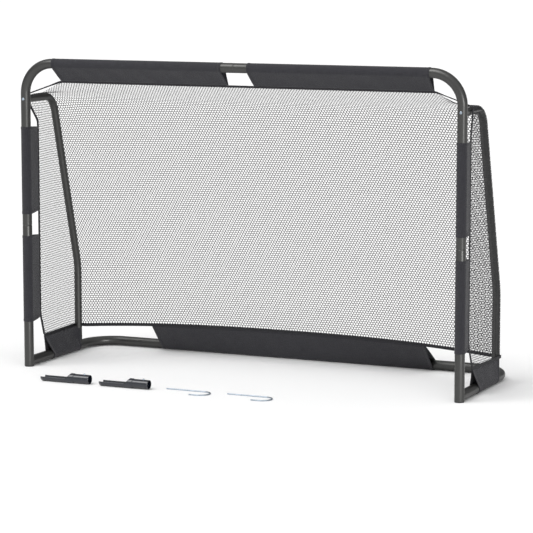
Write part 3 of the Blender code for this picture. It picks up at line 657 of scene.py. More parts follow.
# %% Plugs, bolts and buttons
def spun(name, profile, centre, ahead, hexagon=()):
    """A profile of (radius, height) spun about ahead. The rings listed in hexagon are six-sided."""
    profile = np.asarray(profile, float)
    line = np.asarray(centre) + profile[:, 1:] * unit(ahead)
    across = unit(np.cross(ahead, (0.36, 0.48, 0.80)))
    normal = np.cross(unit(ahead), across)
    corner = (TURNS % (math.pi / 3)) - math.pi / 6
    radius = np.repeat(profile[:, :1], ROUND, 1)
    radius[list(hexagon)] = radius[list(hexagon)] / np.cos(corner)
    rings = line[:, None] + radius[..., None] * (
        np.cos(TURNS)[:, None] * across + np.sin(TURNS)[:, None] * normal
    )
    return welded(mesh_from(name, [grid(rings, round_columns=True)]), outwards=True)


def domed(radius, low, rise, count=7):
    """A dome's profile from its edge to its crown: a quarter of an ellipse."""
    turn = np.linspace(0, math.pi / 2, count)
    return [(radius * math.cos(t), low + rise * math.sin(t)) for t in turn]


HEAD_R, HEAD_HEIGHT, SOCKET_R, SOCKET_DEPTH = 0.0055, 0.0032, 0.0018, 0.0016
SHANK_R, SHANK_LONG, HEAD_EDGE, DRILL_POINT, SOCKET_EDGE = 0.003, 0.064, 0.0006, 0.0004, 0.0001
PLUG_TOP, PLUG_BEVEL, PLUG_EDGE = 0.0145, 0.001, 0.0004
BUTTON_LOW, BUTTON_FLANGE_R, BUTTON_FLANGE, BUTTON_DOME = 0.0130, 0.0055, 0.0144, 0.0022
plug = [
    (0, PLUG_TOP),
    (SPIGOT_R - PLUG_BEVEL, PLUG_TOP),
    (SPIGOT_R, PLUG_TOP - PLUG_BEVEL),
    (SPIGOT_R, FOOT_FLANGE),
    (TUBE_R - PLUG_EDGE, FOOT_FLANGE),
    (TUBE_R, FOOT_FLANGE - PLUG_EDGE),
    (TUBE_R, 3 * PLUG_EDGE),
    (TUBE_R - PLUG_EDGE, CLEARANCE),
    (TUBE_R - 3 * PLUG_EDGE, 0),
    (0, 0),
]
dome = domed(HEAD_R, HEAD_EDGE, HEAD_HEIGHT - HEAD_EDGE, 9)[:-3]
crown = dome[-1][1]
bolt = [
    (0, HEAD_HEIGHT - SOCKET_DEPTH - DRILL_POINT),
    (SOCKET_R, HEAD_HEIGHT - SOCKET_DEPTH),
    (SOCKET_R, crown - SOCKET_EDGE),
    (SOCKET_R + 4 * SOCKET_EDGE, crown),
    *dome[::-1],
    (HEAD_R, 0),
    (SHANK_R, 0),
    (SHANK_R, -SHANK_LONG),
    (0, -SHANK_LONG),
]
for side, sign in SIDES.items():
    piece(
        f"foot_cap_{side}",
        spun("foot_cap", plug, at(sign * POST_X, 0, 0), UP),
        "black_plastic",
        stands_for=[f"foot_plug_{side}"],
    )
    under_head = at(sign * POST_X, -TUBE_R - CLEARANCE, STAY_ARM_Z)
    piece(
        f"socket_bolt_{side}",
        spun("socket_bolt", bolt, under_head, -BACK, (1, 2)),
        "zinc_steel",
        stands_for=[f"stay_bolt_{side}"],
        sharp=28,
    )

button_profile = [(0, BUTTON_LOW), (BUTTON_FLANGE_R, BUTTON_LOW)]
button_profile += [(BUTTON_FLANGE_R, BUTTON_FLANGE), (BUTTON_R, BUTTON_FLANGE)]
button_profile += domed(BUTTON_R, TUBE_R + CLEARANCE, BUTTON_DOME, 9)
buttons = {
    "crossbar": (at(BUTTON_INSET, 0, BAR_Z), BACK),
    "rear_bar": (at(BUTTON_INSET, REAR_BAR, RAIL_Z), towards_net),
}
for side, sign in SIDES.items():
    buttons[f"post_{side}"] = at(sign * POST_X, 0, BUTTON_Z), BACK
for side, neck_x in zip(SIDES, KIT_NECKS_X):
    buttons[f"spike_{side}"] = at(neck_x - SPIKE_BUTTON, -KIT_AHEAD, TUBE_R), UP
for name, (spot, ahead) in buttons.items():
    piece(
        f"spring_button_{name}",
        spun("spring_button", button_profile, spot, ahead),
        "zinc_steel",
        body=f"button_{name}",
        stands_for=[f"snap_button_{name}"],
    )
print("turned pieces", 4 + len(buttons))

# %% [markdown]
# ## Hidden pieces
#
# The leaf springs and the threaded plugs sit inside the tubes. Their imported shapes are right, so
# they stay as they are and only get the finish of the real ones.

# %% Hidden pieces
for name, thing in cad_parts.items():
    if name.startswith(("leaf_spring", "stay_nut_plug")):
        slot = "spring_steel" if name.startswith("leaf") else "black_plastic"
        thing.data.materials.clear()
        thing.data.materials.append(SLOTS[slot])

# %% [markdown]
# ## Sewing
#
# A lockstitch shows as a row of short raised threads, one for each step of the machine. Each is a
# little three-sided bead, highest in its middle, and its ends dip into the cloth. One template is
# copied to every step of a line in a single array sum.

# %% Stitches
STITCH_PITCH, STITCH_LENGTH, THREAD_R, TURN_WEIGHT = 0.0050, 0.0036, 0.00035, 0.001


def stitch_row(line, outwards):
    """Beads along a line, at equal steps: each template point is moved along the line, outwards
    and sideways by its three numbers. The directions outwards go with the line as three more
    columns, scaled so small that they hardly count as length. No bead goes below the floor."""
    count = max(2, int(lengths(line)[-1] / STITCH_PITCH))
    both = spaced(np.concatenate([line, outwards * TURN_WEIGHT], 1), count)
    spots, ahead = both[:, :3], tangents(both[:, :3])
    lift = unit(both[:, 3:] - ahead * (both[:, 3:] * ahead).sum(-1, keepdims=True))
    sideways = np.cross(ahead, lift)
    turn = np.arange(3) / 3 * 2 * math.pi + math.pi / 2
    along = np.array([-0.5, -0.22, 0.22, 0.5]) * STITCH_LENGTH
    size = np.array([0.5, 1, 1, 0.5]) * THREAD_R
    height = np.array([-0.6, 0.5, 0.5, -0.6]) * THREAD_R
    bead = (
        spots[:, None, None]
        + ahead[:, None, None] * along[:, None, None]
        + lift[:, None, None] * (height[:, None] + size[:, None] * np.sin(turn))[..., None]
        + sideways[:, None, None] * (size[:, None] * np.cos(turn))[..., None]
    )
    bead[..., 2] = np.maximum(bead[..., 2], THREAD_R / 4)
    one = grid(bead[0], round_columns=True)[1]
    ends = np.array([[2, 1, 0, 0], [9, 10, 11, 11]])[:, :3]
    shifts = np.arange(count)[:, None, None] * 12
    quads, caps = (one + shifts).reshape(-1, 4), (ends + shifts).reshape(-1, 3)
    points = bead.reshape(-1, 3)
    return [
        (points, quads, np.zeros((len(quads), 4, 2))),
        (points[:0], caps - len(points), np.zeros((len(caps), 3, 2))),
    ]


def stitching(name, rows):
    """One piece from several rows of stitches."""
    parts = []
    for line, outwards in rows:
        parts += stitch_row(line, outwards)
    return piece(name, mesh_from(name, parts), "edge_binding", sharp=None, finish=thread)


# %% [markdown]
# ## The sleeves
#
# A sleeve is a strip of cloth folded round a tube, with its two long sides sewn together at the
# net's edge. Taut cloth takes the shortest way: round the tube and then straight to the seam, as a
# belt does between a wheel and a peg. The real cloth isn't perfect, so small pleats run out from
# the seam, the flat sides are a little slack, and a folded hem stands up at each end.

# %% Sleeve surface
CLOTH, HEM, HEM_RISE, HEM_EDGE, ROW_PITCH = 0.0008, 0.010, 0.0006, 0.0003, 0.007
LAYER_GAP, PLEAT, PLEAT_REACH = 0.0003, 0.00035, 0.012
WAVE, HOLLOW, FLARE, FLARE_REACH = 0.0011, 0.0006, 0.0012, 0.02
SIDE_STEPS, WRAP_STEPS = 12, 36
rng = np.random.default_rng(7)


def edge_line(start, end):
    """A straight edge, as a function of the share along it."""
    start, end = np.asarray(start), np.asarray(end)
    return lambda share: start + (end - start) * share[:, None]


def ripples(far, count, longest, shortest):
    """A sum of waves along far, each with its own length and shift, of height about 1."""
    waves = np.zeros_like(far)
    for length in np.geomspace(longest, shortest, count):
        waves += np.sin(2 * math.pi * (far / (length * rng.uniform(0.8, 1.25)) + rng.uniform()))
    return waves / math.sqrt(count)


def sleeve_rows(length):
    """Shares along a sleeve: closer together at the two hems."""
    hem = np.array([0, 0.0015, 0.005, HEM - HEM_RISE, HEM])
    middle = np.linspace(HEM, length - HEM, max(6, int(length / ROW_PITCH)))[1:-1]
    return np.concatenate([hem, middle, length - hem[::-1]]) / length


def sleeve_surface(tube_ends, edge, inner_bulge=None):
    """Rows of a folded strip. In each section, with R the tube's radius and h the seam's height,
    the cloth touches the tube over the angle from the arc cosine of R over h, and its two sides
    are the straight tangents from there to the seam."""
    start, end = np.asarray(tube_ends[0]), np.asarray(tube_ends[1])
    far = float(np.linalg.norm(end - start))
    along = (end - start) / far
    share = sleeve_rows(far)
    centre = start + (end - start) * share[:, None]
    reach = edge(share) - centre
    slant = reach @ along
    out = reach - slant[:, None] * along
    height = (np.linalg.norm(out, axis=1) - SETBACK)[:, None]
    out = unit(out)
    across = np.cross(along, out)
    wrap_r = TUBE_R + CLEARANCE
    opening = np.arccos(wrap_r / height)
    straight = np.linspace(0, 1, SIDE_STEPS + 1)[None, :-1]
    turn = opening + (2 * math.pi - 2 * opening) * np.linspace(0, 1, WRAP_STEPS + 1)
    side_x = height + (wrap_r * np.cos(opening) - height) * straight
    side_y = LAYER_GAP + (wrap_r * np.sin(opening) - LAYER_GAP) * straight
    x = np.concatenate([side_x, wrap_r * np.cos(turn), side_x[:, ::-1]], 1)
    y = np.concatenate([side_y, wrap_r * np.sin(turn), -side_y[:, ::-1]], 1)
    facing = np.concatenate(
        [opening + 0 * straight, turn, 2 * math.pi - opening + 0 * straight], 1
    )
    free = np.concatenate([straight, np.ones((1, WRAP_STEPS + 1)), straight[:, ::-1]], 1)
    slack = np.sin(math.pi * np.clip(free, 0, 1)) * (free < 1)
    run = (share * far)[:, None]
    from_tip = (height * free).clip(0)
    pleats = ripples(run, 3, 0.034, 0.015) * PLEAT * np.exp(-from_tip / PLEAT_REACH) * (free < 1)
    waves = (ripples(run, 3, 0.30, 0.09) * WAVE - HOLLOW) * slack
    hem = HEM_RISE * ((run < HEM - HEM_EDGE) | (run > far - HEM + HEM_EDGE))
    flare = FLARE * slack * (np.exp(-run / FLARE_REACH) + np.exp(-(far - run) / FLARE_REACH))
    move = pleats + waves + hem + flare
    x, y = x + move * np.cos(facing), y + move * np.sin(facing)
    if inner_bulge is not None:
        x, y = inner_bulge(x, y, centre, out, across, height)
    points = (
        centre[:, None]
        + out[:, None] * x[..., None]
        + across[:, None] * y[..., None]
        + along * (slant[:, None] * (x / height).clip(0, 1))[..., None]
    )
    wide = np.linalg.norm(np.diff(points, axis=1), axis=-1)
    u = np.concatenate([np.zeros((len(share), 1)), np.cumsum(wide, 1)], 1)
    cloth = np.stack([u, np.broadcast_to(run, u.shape)], -1)
    return points, cloth, far, float(u[len(u) // 2, -1])


def sleeve(name, tube_ends, edge, inner_bulge=None):
    """A sleeve with its thickness and its two hem seams."""
    points, cloth, far, wide = sleeve_surface(tube_ends, edge, inner_bulge)
    thing = piece(
        name + "_cloth",
        mesh_from(name, [grid(points, cloth=cloth)]),
        "sleeve_fabric",
        stands_for=[name],
        sharp=None,
    )
    skin = thing.modifiers.new("cloth", "SOLIDIFY")
    skin.thickness, skin.offset = CLOTH, 1
    centre = points.mean(1, keepdims=True)
    outwards = unit(points - centre)
    normal = unit(np.cross(np.gradient(points, axis=1), np.gradient(points, axis=0)))
    normal *= np.sign((normal * outwards).sum(-1, keepdims=True))
    rows = [
        (points[row, 2:-2] + normal[row, 2:-2] * CLOTH, normal[row, 2:-2]) for row in (2, -3)
    ]
    seam = stitching(name + "_hem_seams", rows)
    return thing


# %% Rear edge of the net
def bowed(x):
    """One less the distance from the middle to the power 2.5: 1 in the middle, 0 at the stays,
    and nearly level behind the sleeve."""
    return 1 - (np.minimum(np.abs(x), NET_FLAT) / NET_FLAT) ** 2.5


def rear_edge(x):
    """The net's bottom edge behind the goal, which bows from the stays towards the rear bar."""
    share = bowed(x)
    y = STAY_FOOT_Y + NET_OUT + (REAR_EDGE_Y - STAY_FOOT_Y - NET_OUT) * share
    return at(x, y, BOTTOM_EDGE_Z + (REAR_EDGE_Z - BOTTOM_EDGE_Z) * share)


# %% All nine sleeves
STAY_BELL, STAY_GAP, FADE_FROM = 0.028, 0.0016, 0.80


def round_the_stay(sign):
    """Pushes a side sleeve's inner layer inboard of the stay: its distance from the rail's plane
    is at least a bell curve as wide as the stay, which fades out towards the seam."""

    def pushed(x, y, centre, out, across, height):
        inboard = -sign * np.sign(across[:, :1])
        deep = centre[:, 1:2] - POST_Y - STAY_FOOT_Y
        bell = (STAY_R + STAY_GAP) * np.exp(-((deep / STAY_BELL) ** 2))
        fade = 1 - eased((x / height - FADE_FROM) / (1 - FADE_FROM))
        plane = (x * out[:, :1] + y * across[:, :1]) * sign
        push = np.where(y * inboard > 0, np.maximum(0, bell * fade * (x > 0) + plane), 0)
        return x, y + push * inboard

    return pushed


sleeves = []
for side, sign in SIDES.items():
    x = sign * POST_X
    near, far = (sign * reach for reach in CROSSBAR_SLEEVE)
    seam_x = np.array([near, far - sign * SLEEVE_SLANT])
    ends, seam = at([near, far], 0, BAR_Z), at(seam_x, TOP_EDGE_Y, TOP_EDGE_Z)
    name = f"crossbar_sleeve_{side}"
    sleeves.append(sleeve(name, ends, edge_line(*seam)))
    for part, reach in POST_SLEEVES.items():
        seam_z = np.array(reach) + [SLEEVE_SLANT, -SLEEVE_SLANT]
        ends, seam = at(x, 0, reach), at(x, SIDE_EDGE_Y, seam_z)
        on = top_tubes if part == "upper" else post_tubes
        sleeves.append(sleeve(f"post_sleeve_{part}_{side}", ends, edge_line(*seam)))
    seam_x = x + sign * np.array([BINDING_R, NET_OUT])
    ends, seam = at(x, SIDE_SLEEVE_RAIL, RAIL_Z), at(seam_x, SIDE_SLEEVE_TOP, BOTTOM_EDGE_Z)
    name, on, bulge = f"side_sleeve_{side}", [base_tubes[side]], round_the_stay(sign)
    sleeves.append(sleeve(name, ends, edge_line(*seam), bulge))


def rear_seam(share):
    """The rear sleeve's seam, as a function of the share along it."""
    return rear_edge((2 * share - 1) * REAR_SLEEVE_REACH)


ends = at([-REAR_SLEEVE_REACH, REAR_SLEEVE_REACH], REAR_BAR, RAIL_Z)
sleeves.append(sleeve("rear_sleeve", ends, rear_seam))
print("sleeves", len(sleeves))

# %% [markdown]
# ## The net's surface
#
# The net is drawn in two steps. First comes the surface that it lies on. The roof and the back
# are one panel that runs over the stays and down behind them, wraps round each stay as round a
# pipe, and hangs a little lower between them. The side panels run from the posts to the stays.

# %% Surface of the roof and the back
DOWN_STEPS, ACROSS_STEPS, SAG = 160, 241, 0.004
FRONT_LOW, ROOF_SAG, TOP_OUT, KNEE_OUT = 0.002, 0.008, 0.010, 0.034
at_stay = [
    (TOP_EDGE_Y + NET_IN, STAY_ARM_Z),
    (STAY_TOP_Y, STAY_ARM_Z),
    (STAY_FOOT_Y, STAY_KNEE_Z),
    (STAY_FOOT_Y, BOTTOM_EDGE_Z + NET_IN),
]
at_middle = [
    (TOP_EDGE_Y + NET_IN, TOP_EDGE_Z - FRONT_LOW),
    (STAY_TOP_Y + TOP_OUT, STAY_ARM_Z - ROOF_SAG),
    (STAY_FOOT_Y + KNEE_OUT, STAY_KNEE_Z),
    (REAR_EDGE_Y, REAR_EDGE_Z + NET_IN),
]
bends = np.array([STAY_TOP_BEND_R, STAY_KNEE_BEND_R])
stay_line = spaced(rounded(at_stay, bends), DOWN_STEPS)
middle_line = spaced(rounded(at_middle, bends + NET_OUT), DOWN_STEPS)
stay_ahead = tangents(stay_line)
stay_out = np.stack([-stay_ahead[:, 1], stay_ahead[:, 0]], -1)
ACROSS_HALF = POST_X + NET_OUT * math.pi / 2
DOWN = float(lengths(stay_line + stay_out * NET_OUT)[-1])


def back_surface():
    """Rows across the goal and columns down it. Between the stays a point lies between the
    stays' line and the slacker middle line. Past a stay it turns round it by the sine and cosine
    of the distance over the wrap's radius."""
    across = np.linspace(-ACROSS_HALF, ACROSS_HALF, ACROSS_STEPS)[:, None]
    down = np.linspace(0, 1, DOWN_STEPS)[None]
    size = np.abs(across)
    turn = (size - POST_X).clip(0) / NET_OUT
    x = np.sign(across) * (np.minimum(size, POST_X) + NET_OUT * np.sin(turn))
    top = np.clip((NET_FLAT - size) / (NET_FLAT - CROSSBAR_SLEEVE[1]), 0, 1)
    low = bowed(across)
    slack = (top + (low - top) * np.minimum(1, 4 * down))[..., None]
    outer = stay_line[None] + stay_out[None] * (NET_OUT * np.cos(turn))[..., None]
    place = outer + (middle_line[None] - outer) * slack
    sag = SAG * low * np.sin(math.pi * down) ** 2
    sag = sag * np.sin(5.1 * across + 2.0 * np.sin(4 * down)) * np.sin(9 * down + 1.3 * across)
    return at(x + 0 * down, place[..., 0] + sag, place[..., 1])


BACK_GRID = back_surface()


def on_back(across, down):
    """A point of the back's surface, in metres across from the middle and down from the top,
    read between the four nearest points of the grid."""
    row = (across / ACROSS_HALF + 1) / 2 * (ACROSS_STEPS - 1)
    column = down / DOWN * (DOWN_STEPS - 1)
    i = np.clip(np.floor(row).astype(int), 0, ACROSS_STEPS - 2)
    j = np.clip(np.floor(column).astype(int), 0, DOWN_STEPS - 2)
    a, b = (row - i)[..., None], (column - j)[..., None]
    top = BACK_GRID[i, j] * (1 - a) + BACK_GRID[i + 1, j] * a
    low = BACK_GRID[i, j + 1] * (1 - a) + BACK_GRID[i + 1, j + 1] * a
    return top * (1 - b) + low * b


# %% Surface of a side
SEAM_OVERRUN, ARM_ABOVE, ARM_BELOW, SIDE_WAVE, NET_LIFT = 0.018, 0.011, 0.020, 0.002, 0.045


def front_edge(sign, ahead=0.0):
    """The net's edge behind a post: round the stay's arm, down the sleeves, and forward."""
    x, wide = sign * POST_X, sign * EDGE_X
    upper, lower = POST_SLEEVES["upper"][1], POST_SLEEVES["lower"][0]
    corners = [
        at(wide, TOP_EDGE_Y + ahead, STAY_ARM_Z + ARM_ABOVE),
        at(wide, TOP_EDGE_Y - BINDING_R + ahead, STAY_ARM_Z - ARM_BELOW),
        at(x, SIDE_EDGE_Y + ahead, upper + SEAM_OVERRUN),
        at(x, SIDE_EDGE_Y + ahead, lower + SEAM_OVERRUN),
        at(x + sign * BINDING_R, SIDE_SLEEVE_TOP[0] + ahead, BOTTOM_EDGE_Z + 2.4 * BINDING_R),
    ]
    return rounded(corners, [0.03, 0.05, 0.08])


front_line = front_edge(1, NET_IN)[::-1]
rear_line = stay_line[::-1]


def side_reach(z):
    """How far back the side's front edge and the stay are, at each height."""
    front = np.interp(z, front_line[:, 2], front_line[:, 1]) - POST_Y
    return front, np.interp(z, rear_line[:, 1], rear_line[:, 0])


def on_side(sign):
    """The side's surface: level with the post at its front edge and outside the stay behind."""

    def place(y, z):
        front, rear = side_reach(z)
        share = np.clip((y - front) / (rear - front) * 1.25, 0, 1)
        lift = np.clip((z - STAY_ARM_Z) / NET_LIFT + 1.9, 0, 1)
        wave = SIDE_WAVE * np.sin(11 * z) * np.sin(math.pi * share)
        return at(sign * (POST_X + NET_OUT * np.maximum(eased(share), lift) + wave), y, z)

    return place


def side_inside(y, z):
    """How far inside the side panel's outline a point is, in metres."""
    front, rear = side_reach(z)
    return np.min([y - front, rear - y, z - BOTTOM_EDGE_Z - NET_IN, STAY_ARM_Z - z], 0)


# %% [markdown]
# ## The net's strands
#
# The machine knits a net of hexagons: short legs run down, and pairs of slanting strands join
# them. Each strand is a flat ribbon, 2.6 mm wide and 0.8 mm thick, with a four-sided section. At
# each knot three strands share five points, so the whole net is one closed skin with two dozen
# triangles to a hexagon. Near an outline the strands are cut off under the tape. A mesh is
# 11.5 mm wide, and the rows are 9.2 mm apart.

# %% Hexagon net
CELL, ROW, LEG = 0.0115, 0.0092, 0.0059
STRAND_WIDE, STRAND_THICK = 0.0026, 0.0008
KNOT_R = STRAND_WIDE / 2 / math.sin(math.radians(60))


def knots(place, spots):
    """The surface's point at each spot, and its two directions and normal there."""
    small = 1e-4
    here = place(spots[:, 0], spots[:, 1])
    ahead = (place(spots[:, 0] + small, spots[:, 1]) - here) / small
    down = (place(spots[:, 0], spots[:, 1] + small) - here) / small
    return here, ahead, down, unit(np.cross(ahead, down))


def moved(frames, offsets, lift):
    """Points moved from their knots by offsets in the surface and by lift off it."""
    here, ahead, down, normal = frames
    return here + ahead * offsets[:, :1] + down * offsets[:, 1:] + normal * lift


def hexagon_net(name, place, inside, reach):
    """A skin of hexagons on a surface. Legs stand at every cell, each second row is shifted by
    half a cell, and slanting strands join each leg's top to the feet of the two legs above."""
    s0, s1, t0, t1 = reach
    i = np.arange(int(s0 // CELL) - 2, int(s1 // CELL) + 3)[:, None]
    j = np.arange(int(t0 // ROW) - 2, int(t1 // ROW) + 3)[None]
    centre = np.stack(np.broadcast_arrays((i + 0.5 * (j % 2)) * CELL, j * ROW), -1)
    foot, head = centre - [0, LEG / 2], centre + [0, LEG / 2]
    spots = np.stack([foot, head], 2).reshape(-1, 2)
    count = (np.arange(centre.shape[0] * centre.shape[1]) * 2).reshape(centre.shape[:2])
    shift = j[0, :-1] % 2
    rights, lefts = [], []
    for odd in (0, 1):
        columns = np.nonzero(shift == odd)[0]
        right = count[odd:, columns + 1]
        rights.append(np.stack([count[: len(right), columns] + 1, right], -1).reshape(-1, 2))
        left = count[:, columns + 1] if odd else count[:-1, columns + 1]
        lefts.append(np.stack([count[-len(left) :, columns] + 1, left], -1).reshape(-1, 2))
    legs = np.stack([count, count + 1], -1).reshape(-1, 2)
    strands = [legs, np.concatenate(rights), np.concatenate(lefts)]
    # at a knot, point 0 is opposite its leg, 1 is right and 2 is left of the leg
    sides = [((2, 1), (2, 1)), ((0, 1), (2, 0)), ((2, 0), (0, 1))]
    depth = inside(spots[:, 0], spots[:, 1])
    keep = depth > 0
    slot = np.cumsum(keep) - 1
    kept = spots[keep]
    flip = np.where(np.arange(len(spots)) % 2 == 0, -1, 1)[keep][:, None]
    frames = knots(place, kept)
    corners = [np.array(c) for c in ([0, 1], [0.866, -0.5], [-0.866, -0.5])]
    block = [moved(frames, KNOT_R * c * np.hstack([np.abs(flip), flip]), 0) for c in corners]
    block += [moved(frames, 0 * kept, lift) for lift in (STRAND_THICK / 2, -STRAND_THICK / 2)]
    points = [np.stack(block, 1).reshape(-1, 3)]
    total = len(points[0])
    faces, cells = [], 0
    for (start_side, end_side), pairs in zip(sides, strands):
        a, b = pairs.T
        cells = max(cells, int((keep[a] & keep[b]).sum()))
        # two corners of the knot, then its upper and its lower point, in turn round the strand
        knot_ends = (("a", a, start_side), ("b", b, end_side))
        ends = {e: slot[k][:, None] * 5 + [s[0], 3, s[1], 4] for e, k, s in knot_ends}
        for cut_end, out, stay in (("b", b, a), ("a", a, b)):
            cut = keep[stay] & ~keep[out]
            share = depth[stay[cut]] / (depth[stay[cut]] - depth[out[cut]])
            spot = spots[stay[cut]] + (spots[out[cut]] - spots[stay[cut]]) * share[:, None]
            heading = unit(spots[b[cut]] - spots[a[cut]])
            leftwards = np.stack([-heading[:, 1], heading[:, 0]], -1) * STRAND_WIDE / 2
            here, half = knots(place, spot), STRAND_THICK / 2
            ring = ((1, 0), (0, half), (-1, 0), (0, -half))
            four = [moved(here, left * leftwards, lift) for left, lift in ring]
            points.append(np.stack(four, 1).reshape(-1, 3))
            numbers = total + np.arange(4 * int(cut.sum())).reshape(-1, 4)
            total += numbers.size
            ends[cut_end][cut] = numbers
            faces.append(numbers if cut_end == "b" else numbers[:, ::-1])
        used = keep[a] | keep[b]
        first, last = ends["a"][used], ends["b"][used]
        for k in range(4):
            n = (k + 1) % 4
            faces.append(np.stack([first[:, k], first[:, n], last[:, n], last[:, k]], -1))
    faces = np.concatenate(faces)
    mesh = mesh_from(name, [(np.concatenate(points), faces, np.zeros((len(faces), 4, 2)))])
    return mesh, cells * CELL * ROW


# %% Binding of the net's edges
TAPE_WIDE, TAPE_THICK, TAPE_STEP, TAPE_WAVE, SEAM_IN = 0.0130, 0.0030, 0.008, 0.08, 0.0042


def tape_section():
    """A flat loop: half circles at its two edges, and almost flat faces between them."""
    turn = np.linspace(-math.pi / 2, math.pi / 2, 7)
    cap = TAPE_THICK / 2
    right = np.stack([TAPE_WIDE / 2 - cap + cap * np.cos(turn), cap * np.sin(turn)], -1)
    face = np.stack([np.linspace(0.7, -0.7, 5) * (TAPE_WIDE / 2 - cap), np.full(5, cap * 1.04)], -1)
    half = np.concatenate([right, face])
    return np.concatenate([half, -half])


def binding(name, line, inwards):
    """Tape folded over an edge: its section carried along the line, with a row of stitches on
    each face beside the fold and another where the net lies between its two layers."""
    far = lengths(line)
    count = int(far[-1] / TAPE_STEP) + 2
    both = np.concatenate([line, np.broadcast_to(inwards, line.shape)], 1)
    both = spaced(both, count, far)
    line, inwards = both[:, :3], unit(both[:, 3:])
    loop = tape_section()
    section = np.broadcast_to(loop, (len(line), *loop.shape)).copy()
    waves = ripples(np.linspace(0, far[-1], count), 3, 0.05, 0.02)
    section[..., 1] *= 1 + TAPE_WAVE * waves[:, None]
    rings = carried(line, inwards, section)
    ends = [np.repeat(ring.mean(0)[None, None], len(loop), 1) for ring in (rings[0], rings[-1])]
    rings = np.concatenate([ends[0], rings, ends[1]])
    mesh = welded(mesh_from(name, [grid(rings, round_columns=True)]))
    thing = piece(name + "_tape", mesh, "edge_binding", stands_for=[name], sharp=60)
    ahead = tangents(line)
    inwards = unit(inwards - ahead * (inwards * ahead).sum(-1, keepdims=True))
    normal = np.cross(ahead, inwards)
    rows = [
        (line + inwards * shift + normal * face * TAPE_THICK * 0.52, normal * face)
        for shift in (-SEAM_IN, SEAM_IN)
        for face in (-1, 1)
    ]
    return thing, stitching(name + "_seams", rows)


CORNER_BEND, EDGE_POINTS, TAPE_GAP, TILT_FROM, TILT_OVER = 0.05, 300, 0.001, 0.02, 0.08
ROOF_TILT, ARM_TILT = unit([0, 0.75, -0.66]), np.array([0, 1.0, -0.1])
corner_x, corner_z = POST_X + STAY_R, STAY_ARM_Z + STAY_R + BINDING_R + TAPE_GAP
top_x = np.array([-corner_x, -CROSSBAR_SLEEVE[1], CROSSBAR_SLEEVE[1], corner_x])
top_corners = at(top_x, TOP_EDGE_Y, [corner_z, TOP_EDGE_Z, TOP_EDGE_Z, corner_z])
top_line = spaced(rounded(top_corners, [CORNER_BEND, CORNER_BEND]), 400)
level = eased((np.abs(top_line[:, :1]) - CROSSBAR_SLEEVE[1] + TILT_FROM) / TILT_OVER)
roofwards = (1 - level) * ROOF_TILT + level * ARM_TILT
binding("binding_top", top_line, roofwards)
for side, sign in SIDES.items():
    line = spaced(front_edge(sign), EDGE_POINTS)
    binding(f"binding_front_{side}", line, BACK)
    low_x = sign * np.array([POST_X + BINDING_R, EDGE_X, EDGE_X])
    low_y = [SIDE_SLEEVE_TOP[0], STAY_FOOT_Y - 2 * STAY_R, STAY_FOOT_Y + STAY_R / 2]
    line = at(low_x, low_y, BOTTOM_EDGE_Z)
    binding(f"binding_bottom_{side}", line, UP)
rear_x = (POST_X + STAY_R - BINDING_R) * np.linspace(-1, 1, EDGE_POINTS)
slack = bowed(rear_x)
upwards = np.stack([0 * rear_x, -0.45 * slack, 0.9 + 0.1 * (1 - slack)], -1)
binding("binding_rear", rear_edge(rear_x), upwards)

# %% Net pieces
THIRD = 2 * ACROSS_HALF / 3
for k, name in enumerate(("left", "middle", "right")):
    low, high = -ACROSS_HALF + k * THIRD, -ACROSS_HALF + (k + 1) * THIRD

    def inside(s, t, low=low, high=high):
        return np.min([s - low, high - s, t, DOWN - t], 0)

    strip = f"net_back_{name}"
    mesh, flat = hexagon_net(strip, on_back, inside, (low, high, 0, DOWN))
    piece(strip, mesh, "net_cord", stands_for=["net_back"], sharp=None)
for side, sign in SIDES.items():
    low, high = BOTTOM_EDGE_Z + NET_IN, STAY_ARM_Z
    mesh, flat = hexagon_net(
        f"net_side_{side}", on_side(sign), side_inside, (0.05, STAY_FOOT_Y, low, high)
    )
    piece(
        f"net_panel_{side}", mesh, "net_cord", stands_for=[f"net_side_{side}"], sharp=None
    )

# %% [markdown]
# ## Ground spikes
#
# A spike is a tube whose neck slips into the foot of a post. Below the shoulder the front of the
# wall is cut away, and the trough that is left goes into the ground. The cut starts in an arch,
# and a small dimple is pressed into the wall above it. The surface is a full tube whose rows
# start on the arch, and a half tube for the trough.

# %% Ground spikes
ARCH, DIMPLE_R, DIMPLE_DEEP, ARCH_TO_DIMPLE = 1.05, 0.0034, 0.0014, 0.008


